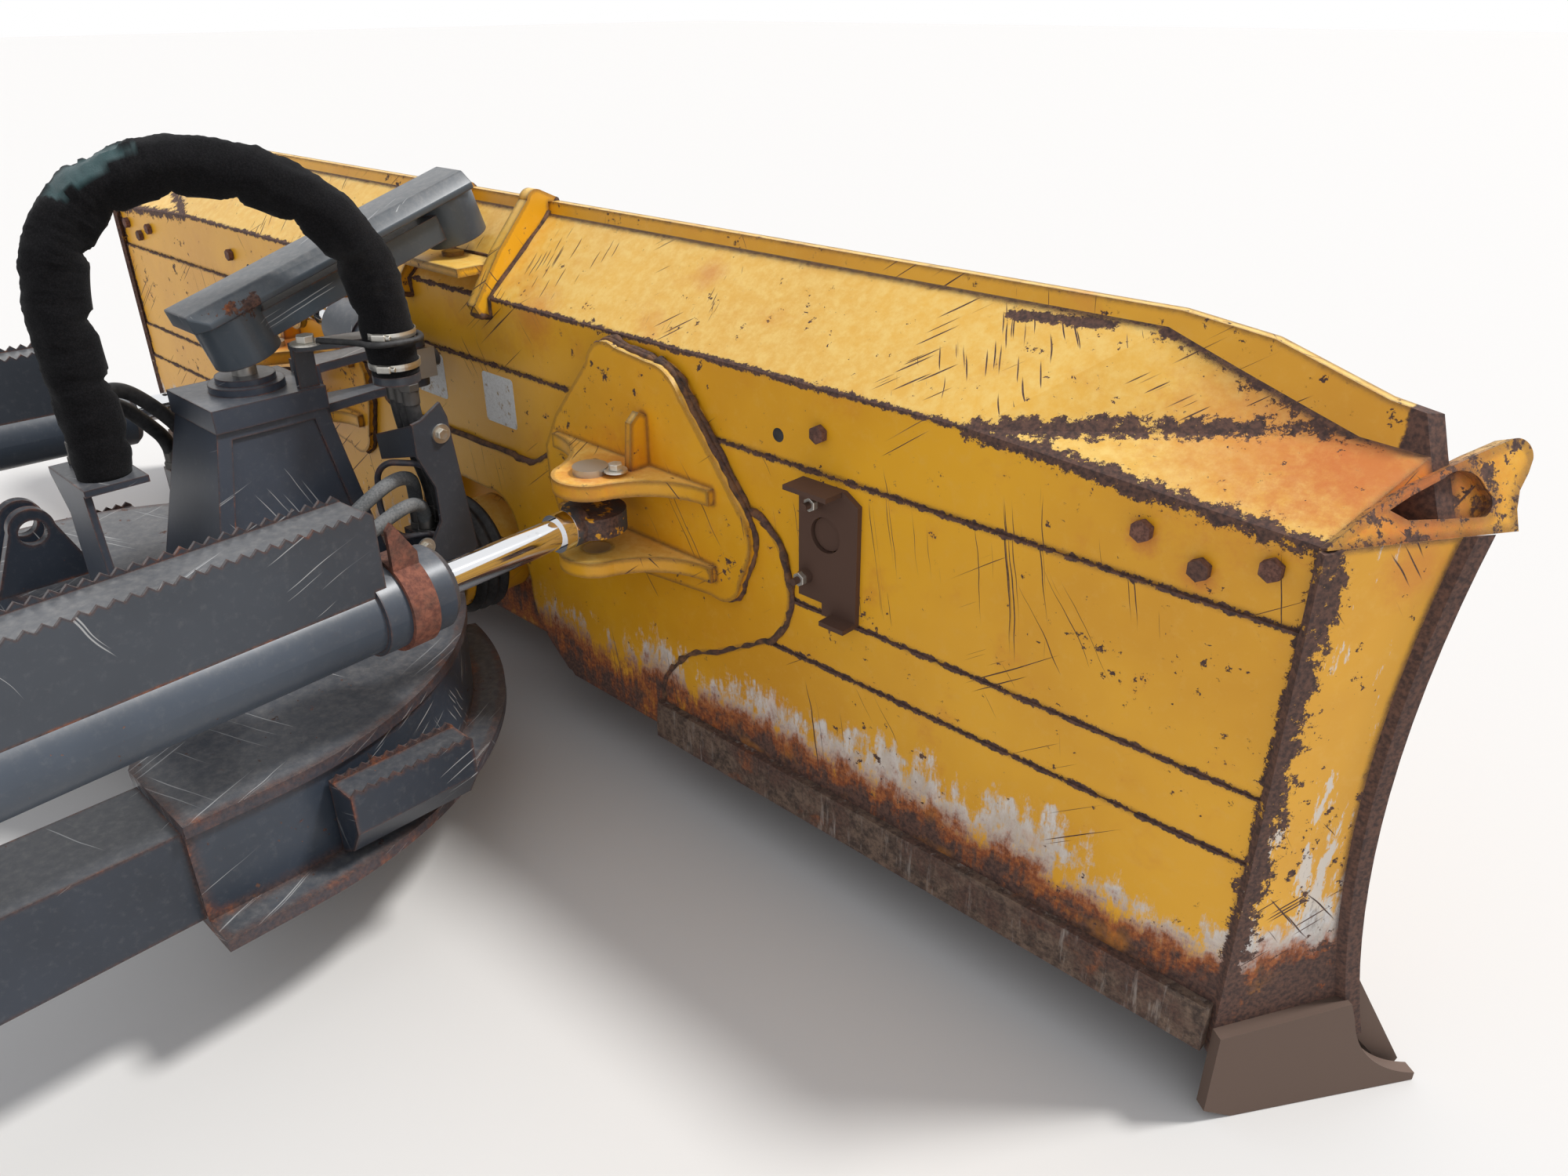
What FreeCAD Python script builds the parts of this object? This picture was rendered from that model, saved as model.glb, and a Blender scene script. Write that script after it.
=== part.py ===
import FreeCAD, Part
import math
import os
import re
from FreeCAD import Vector, Rotation, Placement

# Six-way dozer blade on its C-shaped push frame, millimetres.
# X is to the right, Y forward, Z up. The origin lies between the two trunnion bearings, on their bolting faces.
# Inside this file a place is given as x, y and height: y is measured forward from the flat back of the blade,
# and height is measured up from the ground that the cutting edge rests on.

doc = FreeCAD.newDocument("DozerBlade")
sheet = doc.addObject("Spreadsheet::Sheet", "Sizes")

# Columns: alias, value, what it measures
SIZES = (
    ("axis_ahead", 90, "trunnion axis ahead of the bolting faces"),
    ("arm_reach", 2480, "trunnion axis to the back of the blade"),
    ("axis_height", 470, "trunnion axis above the ground"),
    ("bearing_inside", 300, "inner side of a bearing block from the middle"),
    ("bearing_width", 140, "width of a bearing block"),
    ("bearing_tall", 220, "height of a bearing block"),
    ("bearing_plate", 30, "thickness of the bolted plate of a bearing"),
    ("bearing_round", 80, "radius of the bearing boss"),
    ("bolt_spread", 150, "height between the two bolts of a bearing"),
    ("bolt_hole", 13, "radius of a bearing bolt hole"),
    ("trunnion_pin", 45, "radius of a trunnion pin"),
    ("trunnion_end", 652, "outer end of a trunnion pin from the middle"),
    ("running_fit", 0.08, "radial play of a pin in its bore"),
    ("joint_gap", 0.4, "play between two curved faces that move on each other"),
    ("arm_inside", 470, "inner side of a push arm"),
    ("arm_width", 160, "width of a push arm"),
    ("arm_eye", 88, "radius of the eye at the rear of a push arm"),
    ("frame_bottom", 245, "underside of the frame box"),
    ("frame_top", 400, "upper side of the frame box, below the top plate"),
    ("frame_plate", 20, "thickness of the frame's top plate and bottom flange"),
    ("flange_out", 52, "bottom flange beyond the wall"),
    ("nose_half", 647, "half width of the frame's nose"),
    ("nose_front", -172, "front of the nose"),
    ("nose_flat", 50, "half width of the flat at the very front of the nose"),
    ("nose_back", -900, "where the nose ends and the arms start"),
    ("nose_notch", 120, "how far the rear edge of the nose is hollowed"),
    ("ball_back", 90, "ball centre behind the back of the blade"),
    ("ball_height", 330, "height of the ball centre"),
    ("ball_round", 55, "radius of the ball"),
    ("ball_neck", 28, "radius of the ball's neck"),
    ("boot_round", 60, "radius of the dust boot's rings"),
    ("race_round", 72, "outer radius of the ball race"),
    ("socket_round", 110, "outer radius of the socket housing"),
    ("back_half", 1770, "half width of the flat back"),
    ("flare", 35, "angle at which the end plates open forwards, degrees"),
    ("fold_height", 916, "height of the fold at the top of the flat back"),
    ("top_rise", 162, "blade's top edge above the fold"),
    ("top_ahead", 187, "top edge ahead of the flat back"),
    ("hollow_ahead", 112, "deepest point of the front face ahead of the flat back"),
    ("hollow_height", 640, "height of the deepest point of the front face"),
    ("toe_ahead", 168, "lower edge of the skin ahead of the flat back"),
    ("toe_height", 112, "height of the skin's lower edge"),
    ("skin_thick", 18, "thickness of the front skin"),
    ("box_bottom", 135, "underside of the blade's box"),
    ("seam_upper", 782, "height of the upper seam"),
    ("seam_middle", 544, "height of the middle seam"),
    ("seam_lower", 444, "height of the lower seam"),
    ("step_upper", 5, "panel below the upper seam stands out by"),
    ("step_middle", 8, "panel below the middle seam stands out by"),
    ("step_lower", 11, "panel below the lower seam stands out by"),
    ("corner_start", 480, "where the corner facets start on the fold, from the end of the flat back"),
    ("corner_top", 290, "where the top edge starts to drop, from the end of the flat back"),
    ("corner_fold", 890, "height of the back's outer top corner"),
    ("corner_tip", 996, "height of the skin's outer top corner"),
    ("end_thick", 12, "thickness of an end plate"),
    ("skin_over", 16, "skin beyond the end plate"),
    ("strap_thick", 14, "thickness of the corner strap"),
    ("strap_lean", 25, "inward lean of the corner strap, degrees"),
    ("centre_thick", 14, "thickness of the centre plate"),
    ("pocket_deep", 62, "depth of the centre pocket from the flat back"),
    ("pocket_top", 505, "height of the centre pocket"),
    ("doubler_thick", 18, "thickness of the plate behind a clevis"),
    ("clevis_side", 600, "cylinder pin from the middle"),
    ("clevis_back", 122, "cylinder pin behind the flat back"),
    ("clevis_height", 621, "height of the angle cylinders"),
    ("clevis_gap", 116, "gap between the ears of a clevis"),
    ("ear_thick", 28, "thickness of an ear"),
    ("ear_round", 68, "radius of an ear"),
    ("eye_thick", 38, "thickness of the rod's eye"),
    ("eye_round", 57, "radius of the rod's eye"),
    ("clevis_pin", 25, "radius of a clevis pin"),
    ("pin_head", 31, "radius of a clevis pin's head"),
    ("rod_round", 27, "radius of the angle cylinder's rod"),
    ("barrel_round", 62, "radius of the angle cylinder's barrel"),
    ("gland_round", 69, "radius of the angle cylinder's gland"),
    ("gland_at", 1002, "gland face from the base pin"),
    ("base_side", 680, "base pin of an angle cylinder from the middle"),
    ("base_back", 1450, "base pin of an angle cylinder behind the flat back"),
    ("guard_high", 165, "guard's top above the cylinder axis"),
    ("guard_half", 46, "half width of a guard"),
    ("guard_plate", 8, "thickness of a guard's plates"),
    ("tread_tooth", 20, "pitch of the saw teeth on treads"),
    ("tread_high", 11, "height of the saw teeth"),
    ("cap_lip", 28, "lip of the tower's cap"),
    ("tower_top", 790, "height of the tower below its cap"),
    ("tower_pin_back", 430, "link pin of the tower behind the flat back"),
    ("link_above", 115, "link's rear centre above the tower's box"),
    ("link_pin", 22, "radius of the tower's link pin"),
    ("link_ball", 46, "radius of the ball in the link's rear boss"),
    ("link_boss", 62, "radius of the link's bosses"),
    ("boss_tall", 88, "height of the link's bosses"),
    ("link_ahead", 30, "link's front centre ahead of the flat back"),
    ("link_below", 26, "link's front centre below the blade's top edge"),
    ("link_bar", 84, "width of the link's bar"),
    ("link_deep", 50, "depth of the link's bar"),
    ("gusset_side", 130, "inner side of a top gusset from the middle"),
    ("gusset_thick", 28, "thickness of a top gusset"),
    ("tilt_below", 10, "tilt cylinder's base pin below the top of the tower's box"),
    ("tilt_side", 420, "tilt cylinder's rod pin left of the middle"),
    ("tilt_drop", 86, "tilt cylinder's rod pin below the fold"),
    ("tilt_barrel", 50, "radius of the tilt cylinder's barrel"),
    ("tilt_rod", 24, "radius of the tilt cylinder's rod"),
    ("tilt_gland_at", 285, "tilt cylinder's gland face from its base pin"),
    ("tilt_eye", 36, "radius of the tilt rod's eye"),
    ("edge_thick", 24, "thickness of the cutting edge"),
    ("edge_ahead", 262, "cutting edge's tip ahead of the flat back"),
    ("edge_height", 195, "height of the cutting edge's upper edge"),
    ("bar_bottom", 120, "underside of the base bar"),
    ("bar_top", 200, "upper side of the base bar"),
    ("bar_thick", 16, "thickness of the base bar"),
    ("wear_thick", 20, "thickness of a side wear plate"),
    ("wear_height", 165, "height of a side wear plate at its back"),
    ("sleeve_round", 44, "radius of the hose sleeve"),
    ("hose_round", 13.5, "radius of a hydraulic hose"),
    ("hose_guard_side", 240, "hose guard's side plate from the middle"),
)

for row, (alias, value, meaning) in enumerate(SIZES, start=1):
    sheet.set("A%d" % row, alias)
    sheet.set("B%d" % row, str(value))
    sheet.set("C%d" % row, meaning)
    sheet.setAlias("B%d" % row, alias)
doc.recompute()

ALIASES = [alias for alias, value, meaning in SIZES]
WORD = re.compile(r"\b(" + "|".join(ALIASES) + r")\b")


class Values:
    """The sheet's numbers, as attributes."""


v = Values()
for name in ALIASES:
    setattr(v, name, float(sheet.get(name)))

BACK = "axis_ahead + arm_reach"
TOP_HEIGHT = v.fold_height + v.top_rise
LINK_REAR = v.tower_top + v.link_above
LINK_FRONT = TOP_HEIGHT - v.link_below
TILT_BASE = v.tower_top - v.tilt_below
TILT_PIN = v.fold_height - v.tilt_drop


def across(y):
    """Y of a place that lies y ahead of the flat back."""
    return v.axis_ahead + v.arm_reach + y


def up(height):
    """Z of a place at this height above the ground."""
    return height - v.axis_height


def place(x, y, height):
    return Vector(x, across(y), up(height))


def bind(thing, prop, formula):
    """Tie a property to a formula in the sheet's aliases."""
    thing.setExpression(prop, WORD.sub(r"Sizes.\1", formula))


PLANES = {"XY": "XY_Plane", "XZ": "XZ_Plane", "YZ": "YZ_Plane"}
KEPT = []


def new_body(label, keep=True):
    body = doc.addObject("PartDesign::Body", label)
    body.Label = label
    if keep:
        KEPT.append(body)
    return body


def draw(sketch, loop):
    """A loop is a circle (x, y, radius), or points where a 4-tuple is an arc (mid x, mid y, end x, end y)."""
    if len(loop) == 3 and not isinstance(loop[0], tuple):
        sketch.addGeometry(Part.Circle(Vector(loop[0], loop[1], 0), Vector(0, 0, 1), loop[2]), False)
        return
    start = loop[0]
    here = start
    for point in list(loop[1:]) + [start]:
        if len(point) == 4:
            middle = Vector(point[0], point[1], 0)
            end = (point[2], point[3])
            sketch.addGeometry(Part.Arc(Vector(here[0], here[1], 0), middle, Vector(end[0], end[1], 0)), False)
            here = end
        elif math.hypot(point[0] - here[0], point[1] - here[1]) > 1e-6:
            sketch.addGeometry(Part.LineSegment(Vector(here[0], here[1], 0), Vector(point[0], point[1], 0)), False)
            here = point


def sketch_on(body, plane, loops, at="0"):
    sketch = body.newObject("Sketcher::SketchObject", "Outline")
    origin = [f for f in body.Origin.OriginFeatures if f.Role == PLANES[plane]][0]
    sketch.AttachmentSupport = [(origin, "")]
    sketch.MapMode = "FlatFace"
    bind(sketch, "AttachmentOffset.Base.z", at)
    for loop in loops:
        draw(sketch, loop)
    return sketch


def pad(body, plane, loops, at, length):
    """Pads grow up from XY, rearwards from XZ and to the right from YZ."""
    feature = body.newObject("PartDesign::Pad", "Pad")
    feature.Profile = sketch_on(body, plane, loops, at)
    bind(feature, "Length", length)
    return feature


def pocket(body, plane, loops, at, length):
    """Cuts the same space that a pad with these values would fill."""
    doc.recompute()
    before = body.Shape.Volume
    feature = body.newObject("PartDesign::Pocket", "Pocket")
    feature.Profile = sketch_on(body, plane, loops, at)
    feature.Reversed = True
    bind(feature, "Length", length)
    doc.recompute()
    if body.Shape.Volume >= before:
        raise RuntimeError("a pocket in %s cuts nothing" % body.Label)
    return feature


def turn(body, plane, loop, axis="V_Axis"):
    """Revolve a half profile about an axis of its sketch."""
    feature = body.newObject("PartDesign::Revolution", "Turned")
    sketch = sketch_on(body, plane, [loop])
    feature.Profile = sketch
    feature.ReferenceAxis = (sketch, [axis])
    feature.Angle = 360
    return feature


def bore(body, plane, loop, axis="V_Axis"):
    """Turn out a hole with a half profile."""
    doc.recompute()
    before = body.Shape.Volume
    feature = body.newObject("PartDesign::Groove", "Bore")
    sketch = sketch_on(body, plane, [loop])
    feature.Profile = sketch
    feature.ReferenceAxis = (sketch, [axis])
    feature.Angle = 360
    doc.recompute()
    if body.Shape.Volume >= before:
        raise RuntimeError("a bore in %s cuts nothing" % body.Label)
    return feature


def cut(label, base, tools, keep=True):
    """Base without the tools."""
    current = base
    for number, tool in enumerate(tools):
        feature = doc.addObject("Part::Cut", "%s_cut%d" % (label, number))
        feature.Base = current
        feature.Tool = tool
        current = feature
    current.Label = label
    if keep:
        KEPT.append(current)
    return current


def cylinder(label, radius, height, spot, direction, keep=False):
    """A round bar whose radius and height are formulas, from a spot along a direction."""
    feature = doc.addObject("Part::Cylinder", label)
    feature.Label = label
    bind(feature, "Radius", radius)
    bind(feature, "Height", height)
    feature.Placement = Placement(spot, Rotation(Vector(0, 0, 1), direction))
    if keep:
        KEPT.append(feature)
    return feature


SIDES = (("right", 1), ("left", -1))
FLARE = math.radians(v.flare)


def flip(side, points):
    """Mirror the x of a list of points and arcs."""
    out = []
    for p in points:
        if len(p) == 4:
            out.append((side * p[0], p[1], side * p[2], p[3]))
        else:
            out.append((side * p[0], p[1]))
    return out


def at_heights(points):
    """Outline points on the XZ plane, given by x and height."""
    return [tuple(up(n) if i % 2 else n for i, n in enumerate(p)) for p in points]


def mirrored(half):
    """Close an outline whose right half is given, from its top in the middle to its foot."""
    ends = [(p[-2], p[-1]) for p in half]
    left = [(-ends[-1][0], ends[-1][1])]
    for point, end in zip(reversed(half[1:]), reversed(ends[:-1])):
        if len(point) == 4:
            left.append((-point[0], point[1], -end[0], end[1]))
        else:
            left.append((-end[0], end[1]))
    return half + left


def flare_placement(side):
    """Local Y runs forward and outward along an end plate, local X points outward."""
    return Placement(place(side * v.back_half, 0, 0), Rotation(Vector(0, 0, 1), -side * v.flare))


# The skin's two faces as arcs through three points, top to bottom

TOP = (v.top_ahead, TOP_HEIGHT)
HOLLOW = (v.hollow_ahead, v.hollow_height)
TOE = (v.toe_ahead, v.toe_height)


def circle_through(a, b, c):
    circle = Part.Circle(Vector(a[0], a[1], 0), Vector(b[0], b[1], 0), Vector(c[0], c[1], 0))
    return circle.Center.x, circle.Center.y, circle.Radius


FACE_Y, FACE_Z, FACE_R = circle_through(TOP, HOLLOW, TOE)


def face_y(height, behind=0.0):
    """How far ahead the front face lies at a height, or a face that lies behind it."""
    radius = FACE_R + behind
    return FACE_Y - math.sqrt(radius ** 2 - (height - FACE_Z) ** 2)


def side_point(y, height):
    """A point of a sketch on the YZ plane."""
    return (across(y), up(height))


def face_arc(top, bottom, behind):
    """The mid and end of an arc along the face, from top to bottom or back."""
    middle = (top + bottom) / 2
    mid = side_point(face_y(middle, behind), middle)
    end = side_point(face_y(bottom, behind), bottom)
    return mid + end


def skin_outline():
    top, toe, thick = TOP_HEIGHT, v.toe_height, v.skin_thick
    return [side_point(face_y(top), top), face_arc(top, toe, 0),
            side_point(face_y(toe, thick), toe), face_arc(toe, top, thick)]


SPAN = "back_half * 2.5"
SPAN_START = "-back_half * 1.25"


def skin():
    """The curved front plate, with dropped corners at the top and ends that follow the flare."""
    body = new_body("skin_block", keep=False)
    pad(body, "YZ", [skin_outline()], SPAN_START, SPAN)
    over = v.end_thick + v.skin_over
    tip_y = face_y(v.corner_tip)
    tip_x = v.back_half + tip_y * math.tan(FLARE) + over
    top = up(TOP_HEIGHT) + 60
    loops = []
    start = v.back_half - v.corner_top
    for name, side in SIDES:
        drop = [(start, up(TOP_HEIGHT) + 0.5), (start + 130, up(TOP_HEIGHT - 14)),
                (start + 275, up(TOP_HEIGHT - 56)), (tip_x + 60, up(v.corner_tip - 6)),
                (tip_x + 60, top), (start, top)]
        loops.append(flip(side, drop))
    pocket(body, "XZ", loops, "-(%s) - 400" % BACK, "800")
    beyond_ends(body, over)
    return cut("blade_skin", body, [strap_seat("skin_seat_%s" % name, side) for name, side in SIDES])


def front_space(label):
    """All that lies ahead of the skin's rear face, to trim the plates that meet it."""
    body = new_body(label, keep=False)
    top, toe, thick = TOP_HEIGHT + 60, 0.0, v.skin_thick
    pad(body, "YZ", [[side_point(face_y(top, thick), top), face_arc(top, toe, thick),
                      side_point(600, toe), side_point(600, top)]], SPAN_START, SPAN)
    return body


def above_plane(label, a, b, c):
    """A block whose underside lies on the plane through three places."""
    normal = (b - a).cross(c - a)
    if normal.z < 0:
        normal = normal * -1
    normal.normalize()
    block = doc.addObject("Part::Box", label)
    block.Length = block.Width = block.Height = 900
    turned = Rotation(Vector(0, 0, 1), normal)
    middle = (a + b + c) * (1.0 / 3)
    block.Placement = Placement(middle - turned.multVec(Vector(450, 450, 0)), turned)
    return block


def arch_loop():
    """The arch over the ball joint, open at the foot."""
    crown = v.pocket_top
    half = [(0, crown), (86, crown - 2), (150, crown - 14, 184, crown - 72), (212, crown - 180),
            (226, crown - 262, 262, crown - 312), (336, crown - 372), (336, 20)]
    return mirrored(at_heights(half))


def centre_loop():
    """Outline of the heavy plate in the middle of the back."""
    fold = v.fold_height
    half = [(0, 605), (196, 605), (280, 612, 345, 671), (385, 740), (492, fold - 54), (520, fold - 16, 575, fold - 14),
            (660, fold - 23), (700, fold - 31, 735, fold - 66), (805, 765), (872, 680), (940, 640, 961, 583),
            (965, 520, 924, 453), (784, 372), (668, 300, 631, 245), (619, 147)]
    return mirrored(at_heights(half))


def beyond_ends(body, over=0.0):
    """Cut a long body off along the flare of both end plates."""
    back, front, far = -60.0, 420.0, v.back_half * 1.4
    loops = []
    for name, side in SIDES:
        loops.append(flip(side, [(v.back_half + over + back * math.tan(FLARE), across(back)),
                                 (v.back_half + over + front * math.tan(FLARE), across(front)),
                                 (far, across(front)), (far, across(back))]))
    pocket(body, "XY", loops, "-axis_height - 10", "fold_height + top_rise + 200")


def blade_box():
    """The closed box between the flat back and the skin: stepped panels, sloped top and facets at the corners."""
    body = new_body("blade_box_block", keep=False)
    top_y = v.top_ahead
    rise = [side_point(0, v.fold_height), side_point(top_y, TOP_HEIGHT)]
    back = [side_point(top_y, v.box_bottom), side_point(-v.step_lower, v.box_bottom),
            side_point(-v.step_lower, v.seam_lower), side_point(-v.step_middle, v.seam_lower),
            side_point(-v.step_middle, v.seam_middle), side_point(-v.step_upper, v.seam_middle),
            side_point(-v.step_upper, v.seam_upper), side_point(0, v.seam_upper)]
    pad(body, "YZ", [back + rise], SPAN_START, SPAN)
    beyond_ends(body)
    pocket(body, "XZ", [arch_loop()], "-(%s) - pocket_deep" % BACK, "pocket_deep + 60")
    pocket(body, "XZ", [centre_loop()], "-(%s)" % BACK, "step_lower + 60")
    tools = [front_space("skin_side")]
    for name, side in SIDES:
        start = place(side * (v.back_half - v.corner_start), 0, v.fold_height)
        ridge_y = face_y(TOP_HEIGHT, v.skin_thick)
        slope = v.top_rise / v.top_ahead
        ridge = place(side * (v.back_half - v.corner_top), ridge_y, v.fold_height + slope * ridge_y)
        knot_z = v.corner_tip - 20
        knot = place(side * (v.back_half - v.corner_top + 255), face_y(knot_z, v.skin_thick), knot_z)
        corner = place(side * v.back_half, 0, v.corner_fold)
        steep = above_plane("steep_%s" % name, start, ridge, knot)
        shallow = above_plane("shallow_%s" % name, start, corner, knot)
        wedge = doc.addObject("Part::Common", "wedge_%s" % name)
        wedge.Base = steep
        wedge.Tool = shallow
        tools.append(wedge)
        tools.append(strap_seat("seat_%s" % name, side))
        tools.append(strap_hollow("hollow_%s" % name, side))
    return cut("blade_box", body, tools)


def end_plates():
    for name, side in SIDES:
        body = new_body("end_block_%s" % name, keep=False)
        length = 230 / math.cos(FLARE)
        start = "0" if side > 0 else "-end_thick"
        rise = (v.corner_tip - 20 - v.corner_fold) / (150 / math.cos(FLARE))
        pad(body, "YZ", [[(-14, v.box_bottom - 20), (length, v.box_bottom - 20),
                          (length, v.corner_fold + rise * length), (0, v.corner_fold), (-14, v.corner_fold)]],
            start, "end_thick")
        body.Placement = flare_placement(side)
        cut("end_plate_%s" % name, body, [front_space("end_trim_%s" % name), strap_seat("end_seat_%s" % name, side)])


STRAP_OUT = 8
STRAP_FOOT = 3
STRAP_CREST = ((-8, 3), (49, 39), (99, 62), (188, 91), (233, 104), (256, 98, 260, 80), (253, 65), (240, 46), (235, 25))
STRAP_WINDOW = ((72, 38), (99, 51), (144, 68), (177, 72, 196, 52), (203, 34, 193, 20), (147, 22), (94, 25))


def strap_placement(side):
    """The corner strap leans inward above the end plate: local Y runs forward, local Z up along the strap."""
    foot = Placement(Vector(side * STRAP_OUT, 0, up(v.corner_fold + STRAP_FOOT) - up(0)),
                     Rotation(Vector(0, 1, 0), -side * v.strap_lean))
    return flare_placement(side).multiply(foot)


def strap_block(label, side, loops, first, last):
    """A slab along the strap between two depths below its outer face."""
    body = new_body(label, keep=False)
    start = -last if side > 0 else first
    pad(body, "YZ", loops, "%g" % start, "%g" % (last - first))
    body.Placement = strap_placement(side)
    return body


def strap_seat(label, side):
    """The space above the strap's foot and outside its inner face, taken out of all that it would meet."""
    return strap_block(label, side, [[(-40, 0), (-40, 160), (320, 160), (320, 0)]], -80, v.strap_thick)


def strap_hollow(label, side):
    """The hollow behind the strap's window."""
    return strap_block(label, side, [list(STRAP_WINDOW)], v.strap_thick - 1, v.strap_thick + 46)


def straps(skin_solid):
    """Corner straps over the end plates: each rises to a knob ahead of the skin and has a window to tie down by."""
    for name, side in SIDES:
        outline = [(-8, 0)] + list(STRAP_CREST) + [(235, 0)]
        body = strap_block("strap_block_%s" % name, side, [outline, list(STRAP_WINDOW)], 0, v.strap_thick)
        knob = [(150, 0), (150, 78)] + list(STRAP_CREST[3:]) + [(235, 0)]
        pad(body, "YZ", [knob], "-strap_thick - 14" if side > 0 else "strap_thick", "14")
        cut("corner_strap_%s" % name, body, [skin_solid])


def doubler_outline(side):
    fold = up(v.fold_height)
    return flip(side, [(345, up(671)), (385, up(740)), (492, fold - 54), (520, fold - 16, 575, fold - 14),
                       (660, fold - 23), (700, fold - 31, 735, fold - 66), (805, up(765)), (872, up(680)),
                       (893, up(640), 886, up(585)), (868, up(545)), (850, up(510), 800, up(502)),
                       (640, up(488)), (470, up(470)), (400, up(470), 372, up(520)), (345, up(600))])


def centre_plate():
    """The heavy centre section of the back, with wings under the clevises and the arch over the ball joint."""
    body = new_body("centre_plate")
    pad(body, "XZ", [centre_loop()], "-(%s)" % BACK, "centre_thick")
    pocket(body, "XZ", [arch_loop()], "-(%s)" % BACK, "centre_thick")


def clevises():
    """Doubler plate with two ears, an upright rib on the upper ear, and the pin's head and keeper."""
    top = v.clevis_height + v.clevis_gap / 2
    root = -v.centre_thick - v.doubler_thick
    pin = new_body("clevis_pins")
    for name, side in SIDES:
        body = new_body("clevis_%s" % name)
        pad(body, "XZ", [doubler_outline(side)], "-(%s) + centre_thick" % BACK, "doubler_thick")
        x, y, r = v.clevis_side, -v.clevis_back, v.ear_round
        wing = 213
        ear = flip(side, [(x - wing, across(root)), (x - wing, across(root - 14)),
                          (x - wing * 0.62, across(root - 34), x - r * 0.97, across(y - r * 0.25)),
                          (x, across(y - r), x + r * 0.97, across(y - r * 0.25)),
                          (x + wing * 0.62, across(root - 34), x + wing, across(root - 14)),
                          (x + wing, across(root))])
        hole = (side * x, across(y), v.clevis_pin)
        pad(body, "XY", [ear, hole], "clevis_height + clevis_gap / 2 - axis_height", "ear_thick")
        pad(body, "XY", [ear, hole], "clevis_height - clevis_gap / 2 - ear_thick - axis_height", "ear_thick")
        rib_top = top + v.ear_thick
        start = "clevis_side + 34" if side > 0 else "-clevis_side - 34 - 16"
        pad(body, "YZ", [[side_point(root, rib_top), side_point(root, rib_top + 92),
                          side_point(root - 16, rib_top + 100), side_point(root - 34, rib_top + 84),
                          side_point(root - 42, rib_top)]], start, "16")
        centre = (side * x, across(y))
        pad(pin, "XY", [centre + (v.clevis_pin,)], "clevis_height + clevis_gap / 2 - axis_height", "ear_thick")
        pad(pin, "XY", [centre + (v.pin_head,)], "clevis_height + clevis_gap / 2 + ear_thick - axis_height", "12")
        pad(pin, "XY", [centre + (v.pin_head + 10,)], "clevis_height + clevis_gap / 2 - 3 - axis_height", "3")
        pad(pin, "XY", [centre + (v.clevis_pin,)],
            "clevis_height - clevis_gap / 2 - ear_thick - axis_height", "ear_thick")


def link_bracket():
    """Two gussets over the sloped top and the plate between them that carries the link's pin."""
    body = new_body("link_bracket")
    slope = v.top_rise / v.top_ahead
    fold, top = v.fold_height, TOP_HEIGHT
    rear = face_y(fold + slope * (v.top_ahead - v.skin_thick), v.skin_thick) - 2.5
    for name, side in SIDES:
        outline = [side_point(0, fold - 36), side_point(-22, fold - 32), side_point(-34, fold - 11),
                   side_point(34, fold + 0.52 * v.top_rise), side_point(112, top + 8),
                   side_point(126, top + 25) + side_point(146, top + 24), side_point(180, top + 8),
                   side_point(v.top_ahead - 4, top), side_point(rear, top), side_point(rear, fold + slope * rear),
                   side_point(0, fold)]
        start = "gusset_side" if side > 0 else "-gusset_side - gusset_thick"
        pad(body, "YZ", [outline], start, "gusset_thick")
    low, high = fold + 0.26 * v.top_rise, fold + 0.36 * v.top_rise
    pad(body, "YZ", [[side_point(-45, low), side_point((low - fold) / slope, low),
                      side_point((high - fold) / slope, high), side_point(-45, high)]],
        "-gusset_side", "gusset_side * 2")
    pad(body, "XY", [(0.0, across(v.link_ahead), v.link_pin)], "%g - axis_height" % high, "8")
    return body


def edges(skin_body):
    """Cutting edge, base bars and side wear plates: the parts that meet the ground."""
    body = new_body("cutting_edge")
    low, high = 0.0, v.edge_height
    top_y, tip_y = face_y(high), v.edge_ahead
    toe_y = face_y(v.toe_height)
    direction = Vector(tip_y - top_y, low - high, 0)
    direction.normalize()
    normal = Vector(-direction.y, direction.x, 0) * v.edge_thick
    behind = (tip_y - top_y) / (high - low)
    profile = [side_point(face_y(high) + 0.3, high), face_arc_edge(high, v.toe_height),
               side_point(toe_y + 6, v.toe_height - 8), side_point(tip_y - 14, 0), side_point(tip_y, 0),
               side_point(tip_y + 4, 10), side_point(top_y + normal.x, high + normal.y)]
    pad(body, "YZ", [profile], SPAN_START, SPAN)
    beyond_ends(body)
    bars = new_body("base_bars")
    for name, side in SIDES:
        pad(bars, "XZ", [flip(side, [(619, up(v.bar_bottom)), (v.back_half - 8, up(v.bar_bottom)),
                                     (v.back_half - 8, up(v.bar_top)), (625.6, up(v.bar_top)), (619.1, up(147))])],
            "-(%s) + step_lower" % BACK, "bar_thick")
    for name, side in SIDES:
        wear = new_body("wear_block_%s" % name, keep=False)
        run = 1 / math.cos(FLARE)
        start = "end_thick" if side > 0 else "-end_thick - wear_thick"
        front = face_y(v.edge_height) * run
        tip = v.edge_ahead * run
        pad(wear, "YZ", [[(-16, 22), (-16, v.wear_height), (front, v.wear_height + 22), (front + 14, 150),
                          (front + 40, 90, tip + 8, 14), (tip + 8, 0), (30, 0)]], start, "wear_thick")
        wear.Placement = flare_placement(side)
        cut("side_wear_plate_%s" % name, wear, [skin_body])


def face_arc_edge(top, bottom):
    """Rear face of the cutting edge: 0.3 off the skin's front face."""
    middle = (top + bottom) / 2
    return side_point(face_y(middle) + 0.3, middle) + side_point(face_y(bottom) + 0.3, bottom)


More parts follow.
